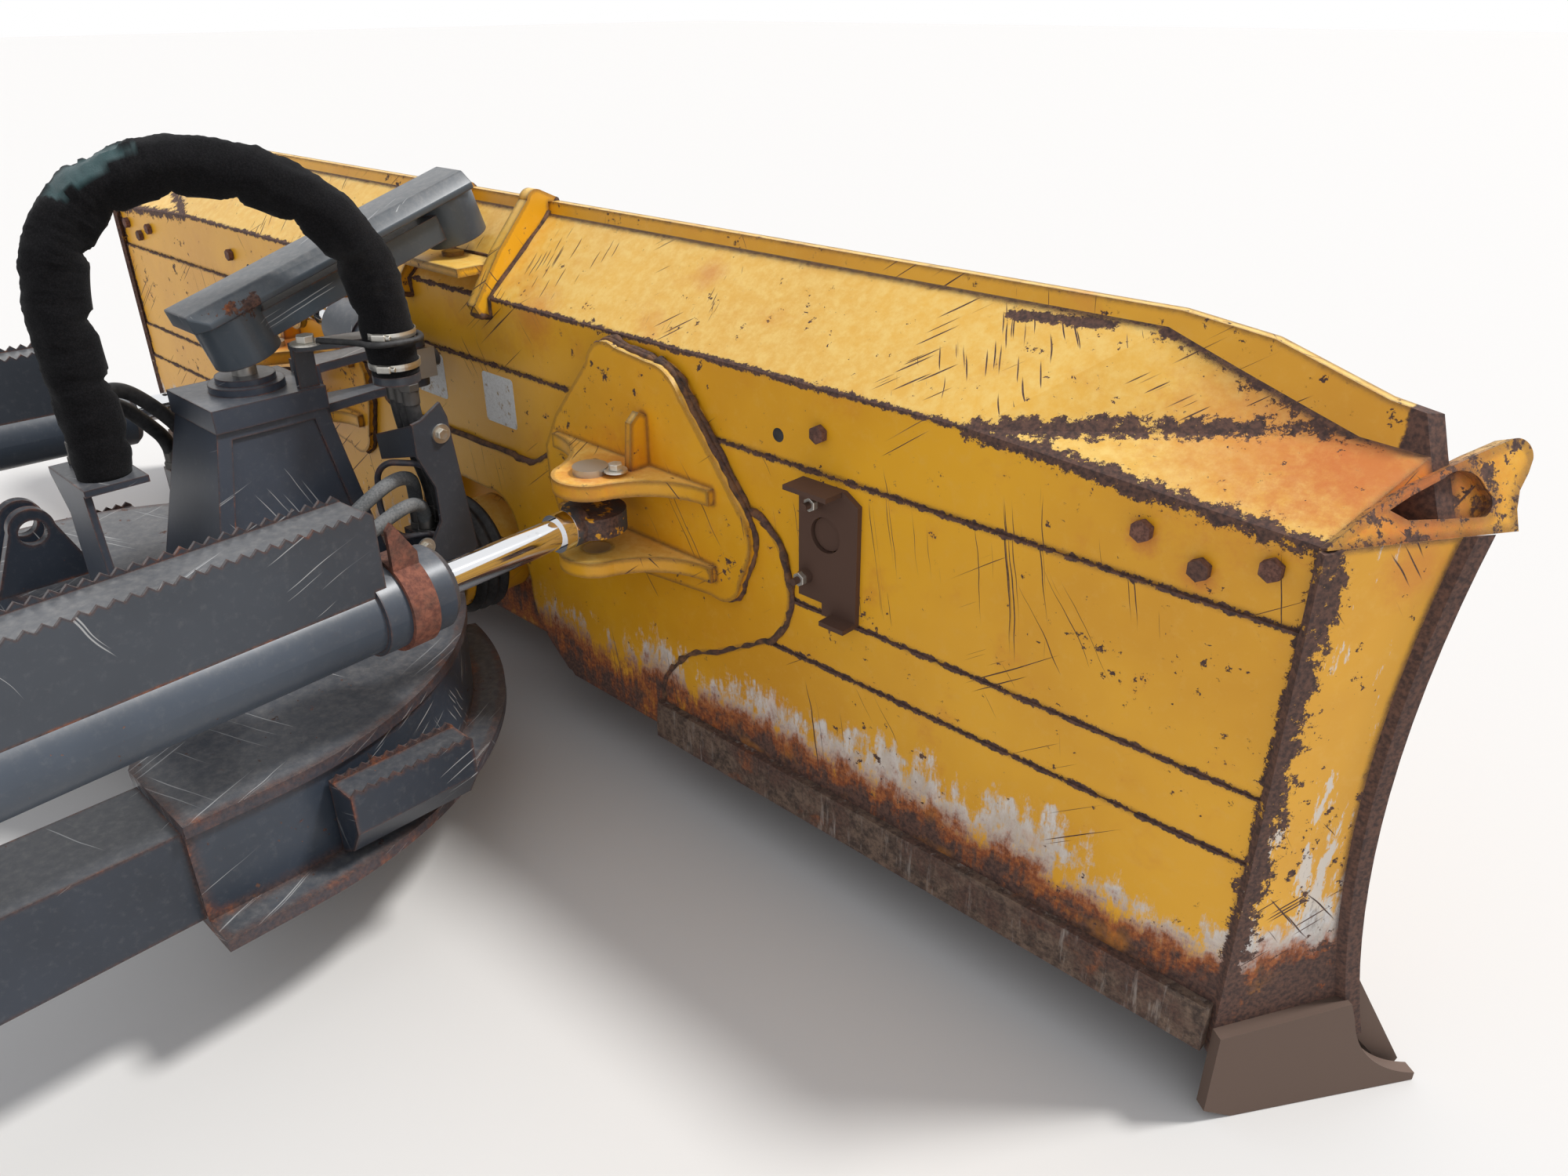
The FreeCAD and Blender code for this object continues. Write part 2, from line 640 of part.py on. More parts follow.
def ball_joint():
    """Ball on a neck at the frame's nose, a race round it, and the housing in the blade's pocket."""
    centre_y, centre_z = across(-v.ball_back), up(v.ball_height)
    stud = new_body("ball_stud")
    reach = -v.nose_front - v.ball_back
    r, n = v.ball_round, v.ball_neck
    neck_at = math.sqrt(r ** 2 - n ** 2)
    turn(stud, "XY", [(0, r), (r, 0, n, -neck_at), (n, -reach + 26), (v.boot_round - 10, -reach + 26),
                      (v.boot_round - 10, -reach + 14), (v.boot_round, -reach + 14),
                      (v.boot_round, -reach), (0, -reach)])
    stud.Placement = Placement(Vector(0, centre_y, centre_z), Rotation())
    race = new_body("ball_race")
    a, b = r + v.joint_gap, v.race_round
    rear, front = -27.0, 38.0
    turn(race, "XY", [(math.sqrt(a ** 2 - rear ** 2), rear), (math.sqrt(b ** 2 - rear ** 2), rear),
                      (b, 0, math.sqrt(b ** 2 - front ** 2), front), (math.sqrt(a ** 2 - front ** 2), front),
                      (a, 0, math.sqrt(a ** 2 - rear ** 2), rear)])
    race.Placement = Placement(Vector(0, centre_y, centre_z), Rotation())
    housing = new_body("socket_housing")
    c = v.race_round + v.joint_gap
    deep = v.ball_back + v.pocket_deep
    rim = -20.0
    turn(housing, "XY", [(math.sqrt(c ** 2 - rim ** 2), rim), (v.socket_round, rim), (v.socket_round, deep),
                         (0, deep), (0, c), (c * math.sin(0.9), c * math.cos(0.9),
                                             math.sqrt(c ** 2 - rim ** 2), rim)])
    housing.Placement = Placement(Vector(0, centre_y, centre_z), Rotation())


def nose_outline(grow):
    half = v.nose_half + grow
    radius = v.nose_half - v.nose_flat
    centre_y = v.nose_front - radius
    reach = radius + grow
    lean = math.sqrt(0.5)
    back = v.nose_back
    inner = v.arm_inside - 20
    return [(half, across(back)), (half, across(centre_y)),
            (v.nose_flat + reach * lean, across(centre_y + reach * lean), v.nose_flat, across(centre_y + reach)),
            (-v.nose_flat, across(centre_y + reach)),
            (-v.nose_flat - reach * lean, across(centre_y + reach * lean), -half, across(centre_y)),
            (-half, across(back)), (-inner, across(back)), (0, across(back + v.nose_notch), inner, across(back))]


def frame_nose():
    body = new_body("c_frame_nose")
    pad(body, "XY", [nose_outline(v.flange_out)], "frame_bottom - frame_plate - axis_height", "frame_plate")
    room, notch = v.socket_round + 30, across(v.nose_front + 8)
    pocket(body, "XY", [[(-room, notch), (room, notch), (room + 40, notch + 90), (-room - 40, notch + 90)]],
           "frame_bottom - frame_plate - axis_height - 1", "frame_plate + 2")
    pad(body, "XY", [nose_outline(-8)], "frame_bottom - axis_height", "frame_top - frame_bottom")
    pad(body, "XY", [nose_outline(0)], "frame_top - axis_height", "frame_plate")
    return body


def push_arms():
    for name, side in SIDES:
        body = new_body("push_arm_%s" % name)
        start = "arm_inside" if side > 0 else "-arm_inside - arm_width"
        bend = v.nose_back - 720
        rear = -v.arm_reach
        deep = v.frame_top - v.frame_bottom
        outline = [side_point(v.nose_back, v.frame_bottom), side_point(v.nose_back, v.frame_top),
                   side_point(bend, v.frame_top), side_point(rear, v.axis_height + deep / 2),
                   side_point(rear, v.axis_height - deep / 2), side_point(bend, v.frame_bottom)]
        pad(body, "YZ", [outline], start, "arm_width")
        pad(body, "YZ", [side_point(rear, v.axis_height) + (v.arm_eye,)], start, "arm_width")
        hole = side_point(rear, v.axis_height) + (v.trunnion_pin + v.running_fit,)
        pocket(body, "YZ", [hole], start, "arm_width")


def bearings():
    for name, side in SIDES:
        body = new_body("trunnion_bearing_%s" % name)
        start = "bearing_inside" if side > 0 else "-bearing_inside - bearing_width"
        half = v.bearing_tall / 2
        pad(body, "YZ", [[(0, -half), (v.bearing_plate, -half), (v.axis_ahead, -v.bearing_round),
                          (v.axis_ahead + v.bearing_round, 0, v.axis_ahead, v.bearing_round),
                          (v.bearing_plate, half), (0, half)]], start, "bearing_width")
        middle = side * (v.bearing_inside + v.bearing_width / 2)
        holes = [(middle, z * v.bolt_spread / 2, v.bolt_hole) for z in (-1, 1)]
        pocket(body, "XZ", holes, "-axis_ahead", "axis_ahead + 1")
        pin_start = "bearing_inside" if side > 0 else "-trunnion_end"
        pad(body, "YZ", [(v.axis_ahead, 0.0, v.trunnion_pin)], pin_start, "trunnion_end - bearing_inside")


def tower_front(height):
    """Where the tower's leaning front face lies at a height."""
    rise = (height - v.frame_top - v.frame_plate) / (v.tower_top - v.frame_top - v.frame_plate)
    return -275 - 61 * rise


def tower_half(height):
    """Half the tower's width at a height."""
    rise = (height - v.frame_top - v.frame_plate) / (v.tower_top - v.frame_top - v.frame_plate)
    return 135 - 49 * rise


def tower():
    """Tapered box on the nose with a cap, a stepped neck and the link's pin."""
    body = new_body("tower")
    loft = body.newObject("PartDesign::AdditiveLoft", "Tapered")
    low = [(-135, across(-620)), (135, across(-620)), (135, across(-275)), (-135, across(-275))]
    high = [(-86, across(-528)), (86, across(-528)), (86, across(-336)), (-86, across(-336))]
    loft.Profile = sketch_on(body, "XY", [low], "frame_top + frame_plate - axis_height")
    loft.Sections = [sketch_on(body, "XY", [high], "tower_top - axis_height")]
    loft.Ruled = True
    foot, head = v.frame_top + v.frame_plate + 34, v.tower_top - 44
    for name, side in SIDES:
        panel = body.newObject("PartDesign::SubtractiveLoft", "Panel")
        sections = []
        for height, rear, front in ((foot, -582, -310), (head, -512, -358)):
            wall, out = tower_half(height) - 6, tower_half(height) + 8
            loop = flip(side, [(wall, across(rear)), (out, across(rear)), (out, across(front)), (wall, across(front))])
            sections.append(sketch_on(body, "XY", [loop], "%g - axis_height" % height))
        panel.Profile = sections[0]
        panel.Sections = [sections[1]]
        panel.Ruled = True
    cap = [(-96, across(-538)), (96, across(-538)), (96, across(-328)), (-96, across(-328))]
    pad(body, "XY", [cap], "tower_top - cap_lip - axis_height", "cap_lip + 14")
    centre = (0.0, across(-v.tower_pin_back))
    pad(body, "XY", [centre + (66.0,)], "tower_top + 14 - axis_height", "14")
    pad(body, "XY", [centre + (52.0,)], "tower_top + 28 - axis_height", "12")
    pin = new_body("tower_pin")
    pad(pin, "XY", [centre + (v.link_pin,)], "tower_top + 40 - axis_height",
        "link_above + 30 - 40")
    return body


def link():
    """Dog-bone link between the tower and the top of the blade, under a bent guard plate."""
    run = v.link_ahead + v.tower_pin_back
    rise = LINK_FRONT - LINK_REAR
    length = math.hypot(run, rise)
    slope = math.degrees(math.atan2(rise, run))
    seat = Placement(place(0, -v.tower_pin_back, LINK_REAR), Rotation(Vector(1, 0, 0), slope))
    half = v.boss_tall / 2
    swivel = new_body("link_swivel")
    ball = v.link_ball - v.joint_gap
    hole = v.link_pin + v.running_fit
    flat = 30.0
    out = math.sqrt(ball ** 2 - flat ** 2)
    turn(swivel, "XZ", [(hole, -flat), (out, -flat), (ball, 0, out, flat), (hole, flat)])
    swivel.Placement = Placement(place(0, -v.tower_pin_back, LINK_REAR), Rotation())
    body = new_body("pitch_link_bar", keep=False)
    pad(body, "XY", [(0.0, 0.0, v.link_boss)], "-boss_tall / 2", "boss_tall")
    pad(body, "XY", [(0.0, length, v.link_boss)], "-boss_tall / 2", "boss_tall")
    wide = v.link_bar / 2
    pad(body, "XY", [[(-wide, 0), (wide, 0), (wide, length), (-wide, length)]], "-link_deep / 2", "link_deep")
    pocket(body, "XY", [(0.0, 0.0, 42.0)], "-boss_tall / 2", "boss_tall / 2")
    sphere = doc.addObject("Part::Sphere", "link_socket")
    bind(sphere, "Radius", "link_ball")
    made = cut("pitch_link", body, [sphere])
    made.Placement = seat
    guard = new_body("link_guard")
    over = 66.0
    low, high = half, half + 34
    pad(guard, "XZ", [[(-over, low), (over, low), (over, low + 12), (over - 22, high), (-over + 22, high),
                       (-over, low + 12)]], "-(%g)" % (length + 42), "%g" % (length + 42 + 76))
    trims = [[(-over - 1, -77), (-over + 20, -77), (-over - 1, -50)], [(over + 1, -77), (over - 20, -77), (over + 1, -50)]]
    pocket(guard, "XY", trims, "boss_tall / 2", "60")
    guard.Placement = seat


def cylinder_set(label, base, target, pin_axis, dims):
    """Gimbal block, barrel with fork and gland, and rod with eye, from a base pin to the rod's pin."""
    length = (target - base).Length
    along = (target - base) * (1.0 / length)
    block, stub, arm, cheek, barrel, gland, gland_at, rod, eye, start = dims
    vertical = pin_axis.cross(along)
    lower = Rotation(pin_axis, along, vertical, "XYZ")
    flat_along = Vector(along.x, along.y, 0)
    flat_along.normalize()
    upright = Rotation(pin_axis, flat_along, Vector(0, 0, 1), "XYZ")
    gimbal = new_body("%s_gimbal" % label)
    b = block
    pad(gimbal, "XY", [[(-b, -b), (b, -b), (b, b), (-b, b)]], "%g" % -b, "%g" % (2 * b))
    pad(gimbal, "XY", [(0.0, 0.0, stub)], "%g" % (-b - arm), "%g" % (2 * b + 2 * arm))
    pad(gimbal, "YZ", [(0.0, 0.0, stub)], "%g" % (-b - arm), "%g" % (2 * b + 2 * arm))
    gimbal.Placement = Placement(base, upright)
    tube = new_body("%s_barrel" % label)
    turn(tube, "XY", [(0, start), (barrel, start), (barrel, gland_at - 130), (gland, gland_at - 130),
                      (gland, gland_at - 12), (gland - 10, gland_at), (0, gland_at)])
    for side in (1, -1):
        at = "%g" % (b + 1) if side > 0 else "%g" % (-b - arm)
        pad(tube, "YZ", [[(0, -cheek), (start + 4, -cheek), (start + 4, cheek), (0, cheek),
                          (-cheek, 0, 0, -cheek)]], at, "%g" % (arm - 1))
    pocket(tube, "YZ", [(0.0, 0.0, stub + v.running_fit)], "%g" % (-b - arm - 1), "%g" % (2 * b + 2 * arm + 2))
    bore(tube, "XY", [(0, start + 24), (rod + 5, start + 24), (rod + 5, gland_at - 44),
                      (rod + v.running_fit, gland_at - 44), (rod + v.running_fit, gland_at), (0, gland_at)])
    tube.Placement = Placement(base, lower)
    bar = new_body("%s_rod" % label)
    inner = gland_at - dims_inside(length, gland_at, start)
    turn(bar, "XY", [(0, inner), (rod, inner), (rod, length - eye - 34), (rod + 7, length - eye - 34),
                     (rod + 7, length - eye * 0.6), (0, length - eye * 0.6)])
    return gimbal, tube, bar, length, lower


def dims_inside(length, gland_at, start):
    """Rod left inside the barrel at rest, so that it never meets the barrel's floor nor leaves the gland."""
    spare = gland_at - start - 24
    out = length - gland_at
    return min(spare - 0.46 * spare, spare - 30) if out > 0 else spare / 2


def angle_cylinders():
    for name, side in SIDES:
        base = place(side * v.base_side, -v.base_back, v.clevis_height)
        target = place(side * v.clevis_side, -v.clevis_back, v.clevis_height)
        along = target - base
        pin_axis = Vector(along.y, -along.x, 0)
        pin_axis.normalize()
        dims = (42, 22, 26, 36, v.barrel_round, v.gland_round, v.gland_at, v.rod_round, v.eye_round, 78)
        gimbal, tube, bar, length, lower = cylinder_set("angle_%s" % name, base, target, pin_axis, dims)
        pad(bar, "XY", [(0.0, length, v.eye_round)], "-eye_thick / 2", "eye_thick")
        bar.Placement = Placement(base, lower)
        guard = new_body("guard_block_%s" % name, keep=False)
        first, last = 250.0, v.gland_at - 112
        half, plate, high = v.guard_half, v.guard_plate, v.guard_high
        wall = [(-half, 20), (-half, high), (half, high), (half, 20), (half - plate, 20),
                (half - plate, high - plate), (-half + plate, high - plate), (-half + plate, 20)]
        pad(guard, "XZ", [wall], "-(%g)" % last, "%g" % (last - first))
        teeth(guard, first, last, (half - 5, -half), high)
        guard.Placement = Placement(base, lower)
        core = cylinder("core_%s" % name, "barrel_round + 0.3", "gland_at", base, along)
        ring = cylinder("ring_%s" % name, "gland_round + 0.3", "200", base + lower.multVec(Vector(0, v.gland_at - 131, 0)), along)
        cut("angle_%s_guard" % name, guard, [core, ring])
        clamp = new_body("angle_%s_clamp" % name)
        near, band, thick = v.gland_at - 92, 44.0, 7.0
        inner = v.gland_round
        turn(clamp, "XY", [(inner, near), (inner + thick, near), (inner + thick, near + band), (inner, near + band)])
        tab_top = v.guard_high - 34
        tab = [(near, inner - 5), (near, tab_top), (near + 10, tab_top + 10), (near + band, inner + 16),
               (near + band, inner - 5)]
        wall = "%g" % (half - 2 * plate - 0.4) if side > 0 else "%g" % (-half + plate + 0.4)
        pad(clamp, "YZ", [tab], wall, "%g" % plate)
        clamp.Placement = Placement(base, lower)


def teeth(body, first, last, starts, base):
    """Saw-tooth strips that stand on a plate: one zigzag outline each."""
    count = int((last - first) / v.tread_tooth)
    pitch = (last - first) / count
    outline = [(first, base)]
    for n in range(count):
        outline.append((first + (n + 0.5) * pitch, base + v.tread_high))
        outline.append((first + (n + 1) * pitch, base + 2))
    outline.append((last, base))
    for start in starts:
        pad(body, "YZ", [outline], "%g" % start, "5")


def cylinder_mounts():
    """Forks on the push arms that carry the angle cylinders' gimbals."""
    body = new_body("cylinder_mounts")
    for name, side in SIDES:
        x, y = v.base_side, -v.base_back
        wide = 58
        pad(body, "XZ", [flip(side, [(500, up(v.frame_top)), (v.arm_inside + v.arm_width, up(v.frame_top)),
                                     (x + wide, up(500)), (x + wide, up(v.clevis_height - 69)),
                                     (500, up(v.clevis_height - 69))])],
            "-(%s) + base_back - 60" % BACK, "140")
        plate = flip(side, [(x - wide, across(y - 80)), (x + wide, across(y - 80)), (x + wide, across(y)),
                            (x, across(y + wide), x - wide, across(y))])
        hole = (side * x, across(y), 22 + v.running_fit)
        pad(body, "XY", [plate, hole], "clevis_height + 43 - axis_height", "26")
        pad(body, "XY", [plate, hole], "clevis_height - 69 - axis_height", "26")
        pad(body, "XZ", [flip(side, [(x - wide, up(v.clevis_height - 69)), (x + wide, up(v.clevis_height - 69)),
                                     (x + wide, up(v.clevis_height + 69)), (x - wide, up(v.clevis_height + 69))])],
            "-(%s) + base_back + 62" % BACK, "18")


def tilt_cylinder():
    """Short cylinder across the back: its base turns on the line through the ball, its rod pulls the blade's top."""
    base = place(0, -v.ball_back, TILT_BASE)
    target = place(-v.tilt_side, -v.ball_back, TILT_PIN)
    dims = (30, 13, 18, 18, v.tilt_barrel, v.tilt_barrel + 5, v.tilt_gland_at, v.tilt_rod, v.tilt_eye, 80)
    gimbal, tube, bar, length, lower = cylinder_set("tilt", base, target, Vector(0, -1, 0), dims)
    pad(bar, "YZ", [(length, 0.0, v.tilt_eye)], "-25", "50")
    bar.Placement = Placement(base, lower)
    fork = new_body("tilt_bracket")
    centre = (0.0, across(-v.ball_back))
    top, foot, web = TILT_BASE + 48, TILT_BASE - 80, 20
    cap_front, foot_y, lip = -328, tower_front(foot), v.tower_top - v.cap_lip
    pad(fork, "YZ", [[side_point(foot_y, foot), side_point(tower_front(lip), lip),
                      side_point(cap_front, lip), side_point(cap_front, top),
                      side_point(cap_front + web, top), side_point(foot_y + web, foot)]], "-40", "80")
    plate = [(-40, across(cap_front + 8)), (40, across(cap_front + 8)), (24, across(-v.ball_back - 110)),
             (24, across(-v.ball_back)), (0, across(-v.ball_back + 24), -24, across(-v.ball_back)),
             (-24, across(-v.ball_back - 110))]
    hole = centre + (13 + v.running_fit,)
    pad(fork, "XY", [plate, hole], "tower_top - tilt_below + 31 - axis_height", "17")
    pad(fork, "XY", [plate, hole], "tower_top - tilt_below - 48 - axis_height", "17")
    ears = new_body("tilt_ears")
    x, z = -v.tilt_side, TILT_PIN
    ear = [(x - 34, up(z - 26)), (x, up(z - 48), x + 34, up(z - 26)), (x + 34, up(z + 58)), (x - 34, up(z + 58))]
    pin = (x, up(z), 15.0)
    for at in ("-(%s) + ball_back - 46 - running_fit" % BACK, "-(%s) + ball_back + 31 + running_fit" % BACK):
        pad(ears, "XZ", [ear, pin], at, "15")
        pad(ears, "XZ", [pin], at, "15")
    pad(ears, "XZ", [[(x - 34, up(z + 42)), (x + 34, up(z + 42)), (x + 34, up(z + 58)), (x - 34, up(z + 58))]],
        "-(%s)" % BACK, "ball_back + 46 + running_fit")


def steps():
    """Boxed steps with saw-tooth treads on the nose's walls."""
    first, last = -690.0, -480.0
    body = new_body("steps")
    for name, side in SIDES:
        inner, out = v.nose_half - 7.5, v.nose_half + 62
        low, high = v.frame_bottom + 0.3, v.frame_top - 18
        pad(body, "XZ", [flip(side, [(inner, up(low)), (out - 30, up(low + 22)), (out, up(low + 70)), (out, up(high)),
                                     (inner, up(high))])], "-(%s) - (%g)" % (BACK, last), "%g" % (last - first))
        strips = ((out - 5, out), (inner + 8, inner + 13))
        starts = [a if side > 0 else -b for a, b in strips]
        teeth(body, across(first), across(last), starts, up(high))


def rusty_bracket():
    """Small bolted bracket plate on the back, with bent tabs and two studs."""
    body = new_body("bolted_bracket")
    x1, x2, z1, z2 = 990, 1110, v.seam_middle + 23, 770
    face = -v.step_upper
    round_hole = (1046.0, up(688), 30.0)
    pad(body, "XZ", [[(x1, up(z1)), (1040, up(z1)), (1040, up(z1 - 22)), (x2, up(z1 - 22)), (x2, up(z2 - 18)),
                      (x2 - 30, up(z2)), (x1, up(z2))], round_hole],
        "-(%s) + step_upper" % BACK, "10")
    pad(body, "YZ", [[side_point(face - 10, z2), side_point(face - 48, z2), side_point(face - 48, z2 - 8),
                      side_point(face - 10, z2 - 8)]], "990", "88")
    pad(body, "YZ", [[side_point(face - 10, z1 - 22), side_point(face - 40, z1 - 22),
                      side_point(face - 40, z1 - 14), side_point(face - 10, z1 - 14)]], "1060", "50")
    for x, z in ((1030, 742), (1008, 606)):
        pad(body, "XZ", [(float(x), up(z), 12.0)], "-(%s) + step_upper + 10" % BACK, "12")
        pad(body, "XZ", [(float(x), up(z), 6.0)], "-(%s) + step_upper + 22" % BACK, "22")


def lift_lugs():
    """Two pairs of lugs on the nose for the lift cylinders."""
    body = new_body("lift_lugs")
    for side in (1, -1):
        for offset in (0, 62):
            inner = 300 + offset
            start = "%g" % inner if side > 0 else "%g" % (-inner - 22)
            outline = [side_point(-860, v.frame_top + v.frame_plate), side_point(-810, 540),
                       side_point(-770, 580) + side_point(-730, 540), side_point(-680, v.frame_top + v.frame_plate)]
            pad(body, "YZ", [outline, side_point(-770, 532) + (25.0,)], start, "22")


SLEEVE_X, SLEEVE_Y, SLEEVE_FOOT = 192, -236, 828


def hose_parts():
    """Clamp post behind the tower and clamp bracket at its front, where the sleeved hoses end."""
    post = new_body("hose_post")
    top = v.frame_top + v.frame_plate
    pad(post, "XZ", [[(-70, up(top)), (70, up(top)), (50, up(700)), (-112, up(700)), (-60, up(640))]],
        "-(%s) + 742" % BACK, "12")
    pad(post, "XY", [[(-112, across(-754)), (60, across(-754)), (60, across(-650)), (-112, across(-650))]],
        "%g - axis_height" % 700, "12")
    bracket = new_body("hose_bracket")
    cap_top, clamp, disc = v.tower_top + 14, 875.0, v.sleeve_round - 1
    near = SLEEVE_X - v.sleeve_round - 0.3
    pad(bracket, "YZ", [[side_point(-372, cap_top), side_point(-334, cap_top), side_point(-334, clamp),
                         side_point(-372, clamp)]], "74", "12")
    pad(bracket, "XY", [[(70, across(-372)), (104, across(-372)), (near + 3, across(SLEEVE_Y - 16)),
                         (near, across(SLEEVE_Y), near + 3, across(SLEEVE_Y + 16)), (98, across(SLEEVE_Y + 16)),
                         (70, across(-330))]], "%g - axis_height" % clamp, "12")
    foot = SLEEVE_FOOT - 16
    pad(bracket, "YZ", [[side_point(SLEEVE_Y - 14, foot), side_point(SLEEVE_Y + 14, foot),
                         side_point(SLEEVE_Y + 14, clamp), side_point(SLEEVE_Y - 14, clamp)]], "%g" % (near - 9), "8")
    pad(bracket, "XY", [[(near - 9, across(SLEEVE_Y - 14)), (SLEEVE_X, across(SLEEVE_Y - 14)),
                         (SLEEVE_X, across(SLEEVE_Y + 14)), (near - 9, across(SLEEVE_Y + 14))]],
        "%g - axis_height" % foot, "8")
    pad(bracket, "XY", [(float(SLEEVE_X), across(SLEEVE_Y), disc)], "%g - axis_height" % foot, "16")


SLEEVE_ROUTE = (
    (192, -236, 828), (192, -236, 930), (186, -246, 1020), (163, -282, 1104), (125, -350, 1165),
    (85, -432, 1200), (50, -530, 1208), (22, -622, 1175), (6, -682, 1105), (0, -704, 1010),
    (0, -706, 905), (0, -700, 805), (0, -700, 712))


def tube_along(route, radius):
    """Straight runs joined by tangent arcs, as one swept tube; prints the tightest bend."""
    points = [place(*p) for p in route]
    edges_made = []
    here = points[0]
    tightest = 1e9
    for before, corner, after in zip(points, points[1:], points[2:]):
        a, b = before - corner, after - corner
        shorter = min(a.Length, b.Length)
        turned = math.pi - a.getAngle(b)
        setback = 0.45 * shorter
        bend = setback / math.tan(turned / 2)
        tightest = min(tightest, bend)
        first = corner + a * (setback / a.Length)
        second = corner + b * (setback / b.Length)
        inward = (a * (1 / a.Length) + b * (1 / b.Length))
        inward.normalize()
        middle = corner + inward * (bend / math.cos(turned / 2) - bend)
        edges_made.append(Part.LineSegment(here, first).toShape())
        edges_made.append(Part.Arc(first, middle, second).toShape())
        here = second
    edges_made.append(Part.LineSegment(here, points[-1]).toShape())
    path = Part.Wire(edges_made)
    start_direction = points[1] - points[0]
    ring = Part.Wire([Part.Circle(points[0], start_direction, radius).toShape()])
    tube = path.makePipeShell([ring], True, True)
    expected = math.pi * radius ** 2 * path.Length
    print("tube length %.0f tightest bend %.0f volume ratio %.4f"
          % (path.Length, tightest, tube.Volume / expected))
    return tube


def cord_tube(label, route, radius):
    feature = doc.addObject("Part::Feature", label)
    feature.Shape = tube_along(route, radius)
    feature.Label = label
    KEPT.append(feature)


GUARD_ROD = ((v.hose_guard_side, -236, 655), (214, -236, 655), (150, -283, 655), (146, -292, 560),
             (192, -294, 512), (226, -233, 513), (v.hose_guard_side, -233, 513))

DROP_ROUTE = ((-230, SLEEVE_FOOT - 16), (-230, 742), (-207, 650), (-186, 570), (-186, 505))

LEFT_HOSE_A = ((-62, -707, 712), (-62, -707, 775), (-72, -667, 826), (-88, -615, 829), (-101, -560, 774),
               (-118, -513, 706), (-118, -513, 640))
LEFT_HOSE_B = ((-94, -707, 712), (-94, -707, 763), (-106, -664, 801), (-120, -616, 792), (-132, -571, 737),
               (-148, -538, 690), (-148, -538, 640))
RIGHT_HOSE_A = ((205, -452, 460), (205, -452, 515), (206, -407, 570), (207, -348, 607), (205, -285, 634),
                (190, -238, 622), (162, -222, 570), (162, -222, 505))
RIGHT_HOSE_B = ((238, -452, 460), (238, -452, 507), (238, -402, 540), (238, -348, 568), (236, -290, 588),
                (222, -248, 580), (203, -230, 545), (203, -230, 505))


def hose_guard():
    """Bent plate and rod that shield the hoses beside the tower, and the blocks that the hoses end in."""
    guard = new_body("hose_guard")
    thick = 8
    top = v.frame_top + v.frame_plate
    side_plate = [side_point(-300, top), side_point(-212, top), side_point(-151, 466), side_point(-178, 741),
                  side_point(-189, 771), side_point(-232, 746), side_point(-252, 742), side_point(-252, 681),
                  side_point(-222, 610),
                  side_point(-222, 540), side_point(-262, 480), side_point(-300, 460)]
    pad(guard, "YZ", [side_plate], "hose_guard_side", "%g" % thick)
    low, high = 640.0, 690.0
    pad(guard, "XZ", [[(tower_half(low), up(low)), (v.hose_guard_side + thick, up(681)),
                       (v.hose_guard_side + thick, up(742)), (tower_half(high), up(high))]],
        "-(%s) + 242" % BACK, "%g" % thick)
    ports = new_body("hose_ports")
    for x1, x2, y1, y2, height in ((184, 258, -472, -430, 460), (142, 238, -246, -172, 505)):
        pad(ports, "XY", [[(x1, across(y1)), (x2, across(y1)), (x2, across(y2)), (x1, across(y2))]],
            "frame_top + frame_plate - axis_height", "%g - frame_top - frame_plate" % height)
    pad(ports, "XZ", [[(-168, up(590)), (-tower_half(590), up(590)), (-tower_half(640), up(640)), (-168, up(640))]],
        "-(%s) + 496" % BACK, "58")


front_skin = skin()
blade_box()
end_plates()
straps(front_skin)
centre_plate()
clevises()
link_bracket()
edges(front_skin)
ball_joint()
frame_nose()
push_arms()
bearings()
tower()
link()
angle_cylinders()
cylinder_mounts()
tilt_cylinder()
steps()
rusty_bracket()
lift_lugs()
hose_parts()
hose_guard()
cord_tube("hose_guard_rod", GUARD_ROD, 6.0)
cord_tube("hose_bundle", SLEEVE_ROUTE, v.sleeve_round)
for name, offset in (("a", -28), ("b", 0), ("c", 28)):
    cord_tube("drop_hose_%s" % name, [(SLEEVE_X + offset, y, height) for y, height in DROP_ROUTE], v.hose_round)
cord_tube("left_hose_a", LEFT_HOSE_A, v.hose_round)
cord_tube("left_hose_b", LEFT_HOSE_B, v.hose_round)
cord_tube("right_hose_a", RIGHT_HOSE_A, v.hose_round)
cord_tube("right_hose_b", RIGHT_HOSE_B, v.hose_round)
doc.recompute()

for thing in doc.Objects:
    if "Invalid" in thing.State or "Error" in thing.State:
        raise RuntimeError("%s (%s) failed: %s" % (thing.Name, thing.Label, thing.State))

os.makedirs("parts", exist_ok=True)
for thing in KEPT:
    shape = thing.Shape
    if shape.isNull() or not shape.isValid() or not shape.Solids:
        raise RuntimeError("%s has no valid solid" % thing.Label)
    shape.exportStep("parts/%s.step" % thing.Label)
    box = shape.BoundBox
    print("%-26s solids %d  volume %8.4f dm3  x %6.0f %6.0f  y %6.0f %6.0f  z %6.0f %6.0f" % (
        thing.Label, len(shape.Solids), shape.Volume / 1e6, box.XMin, box.XMax, box.YMin, box.YMax,
        box.ZMin, box.ZMax))
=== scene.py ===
import math

import bmesh
import bpy
from mathutils import Matrix, Vector, kdtree, noise as pattern


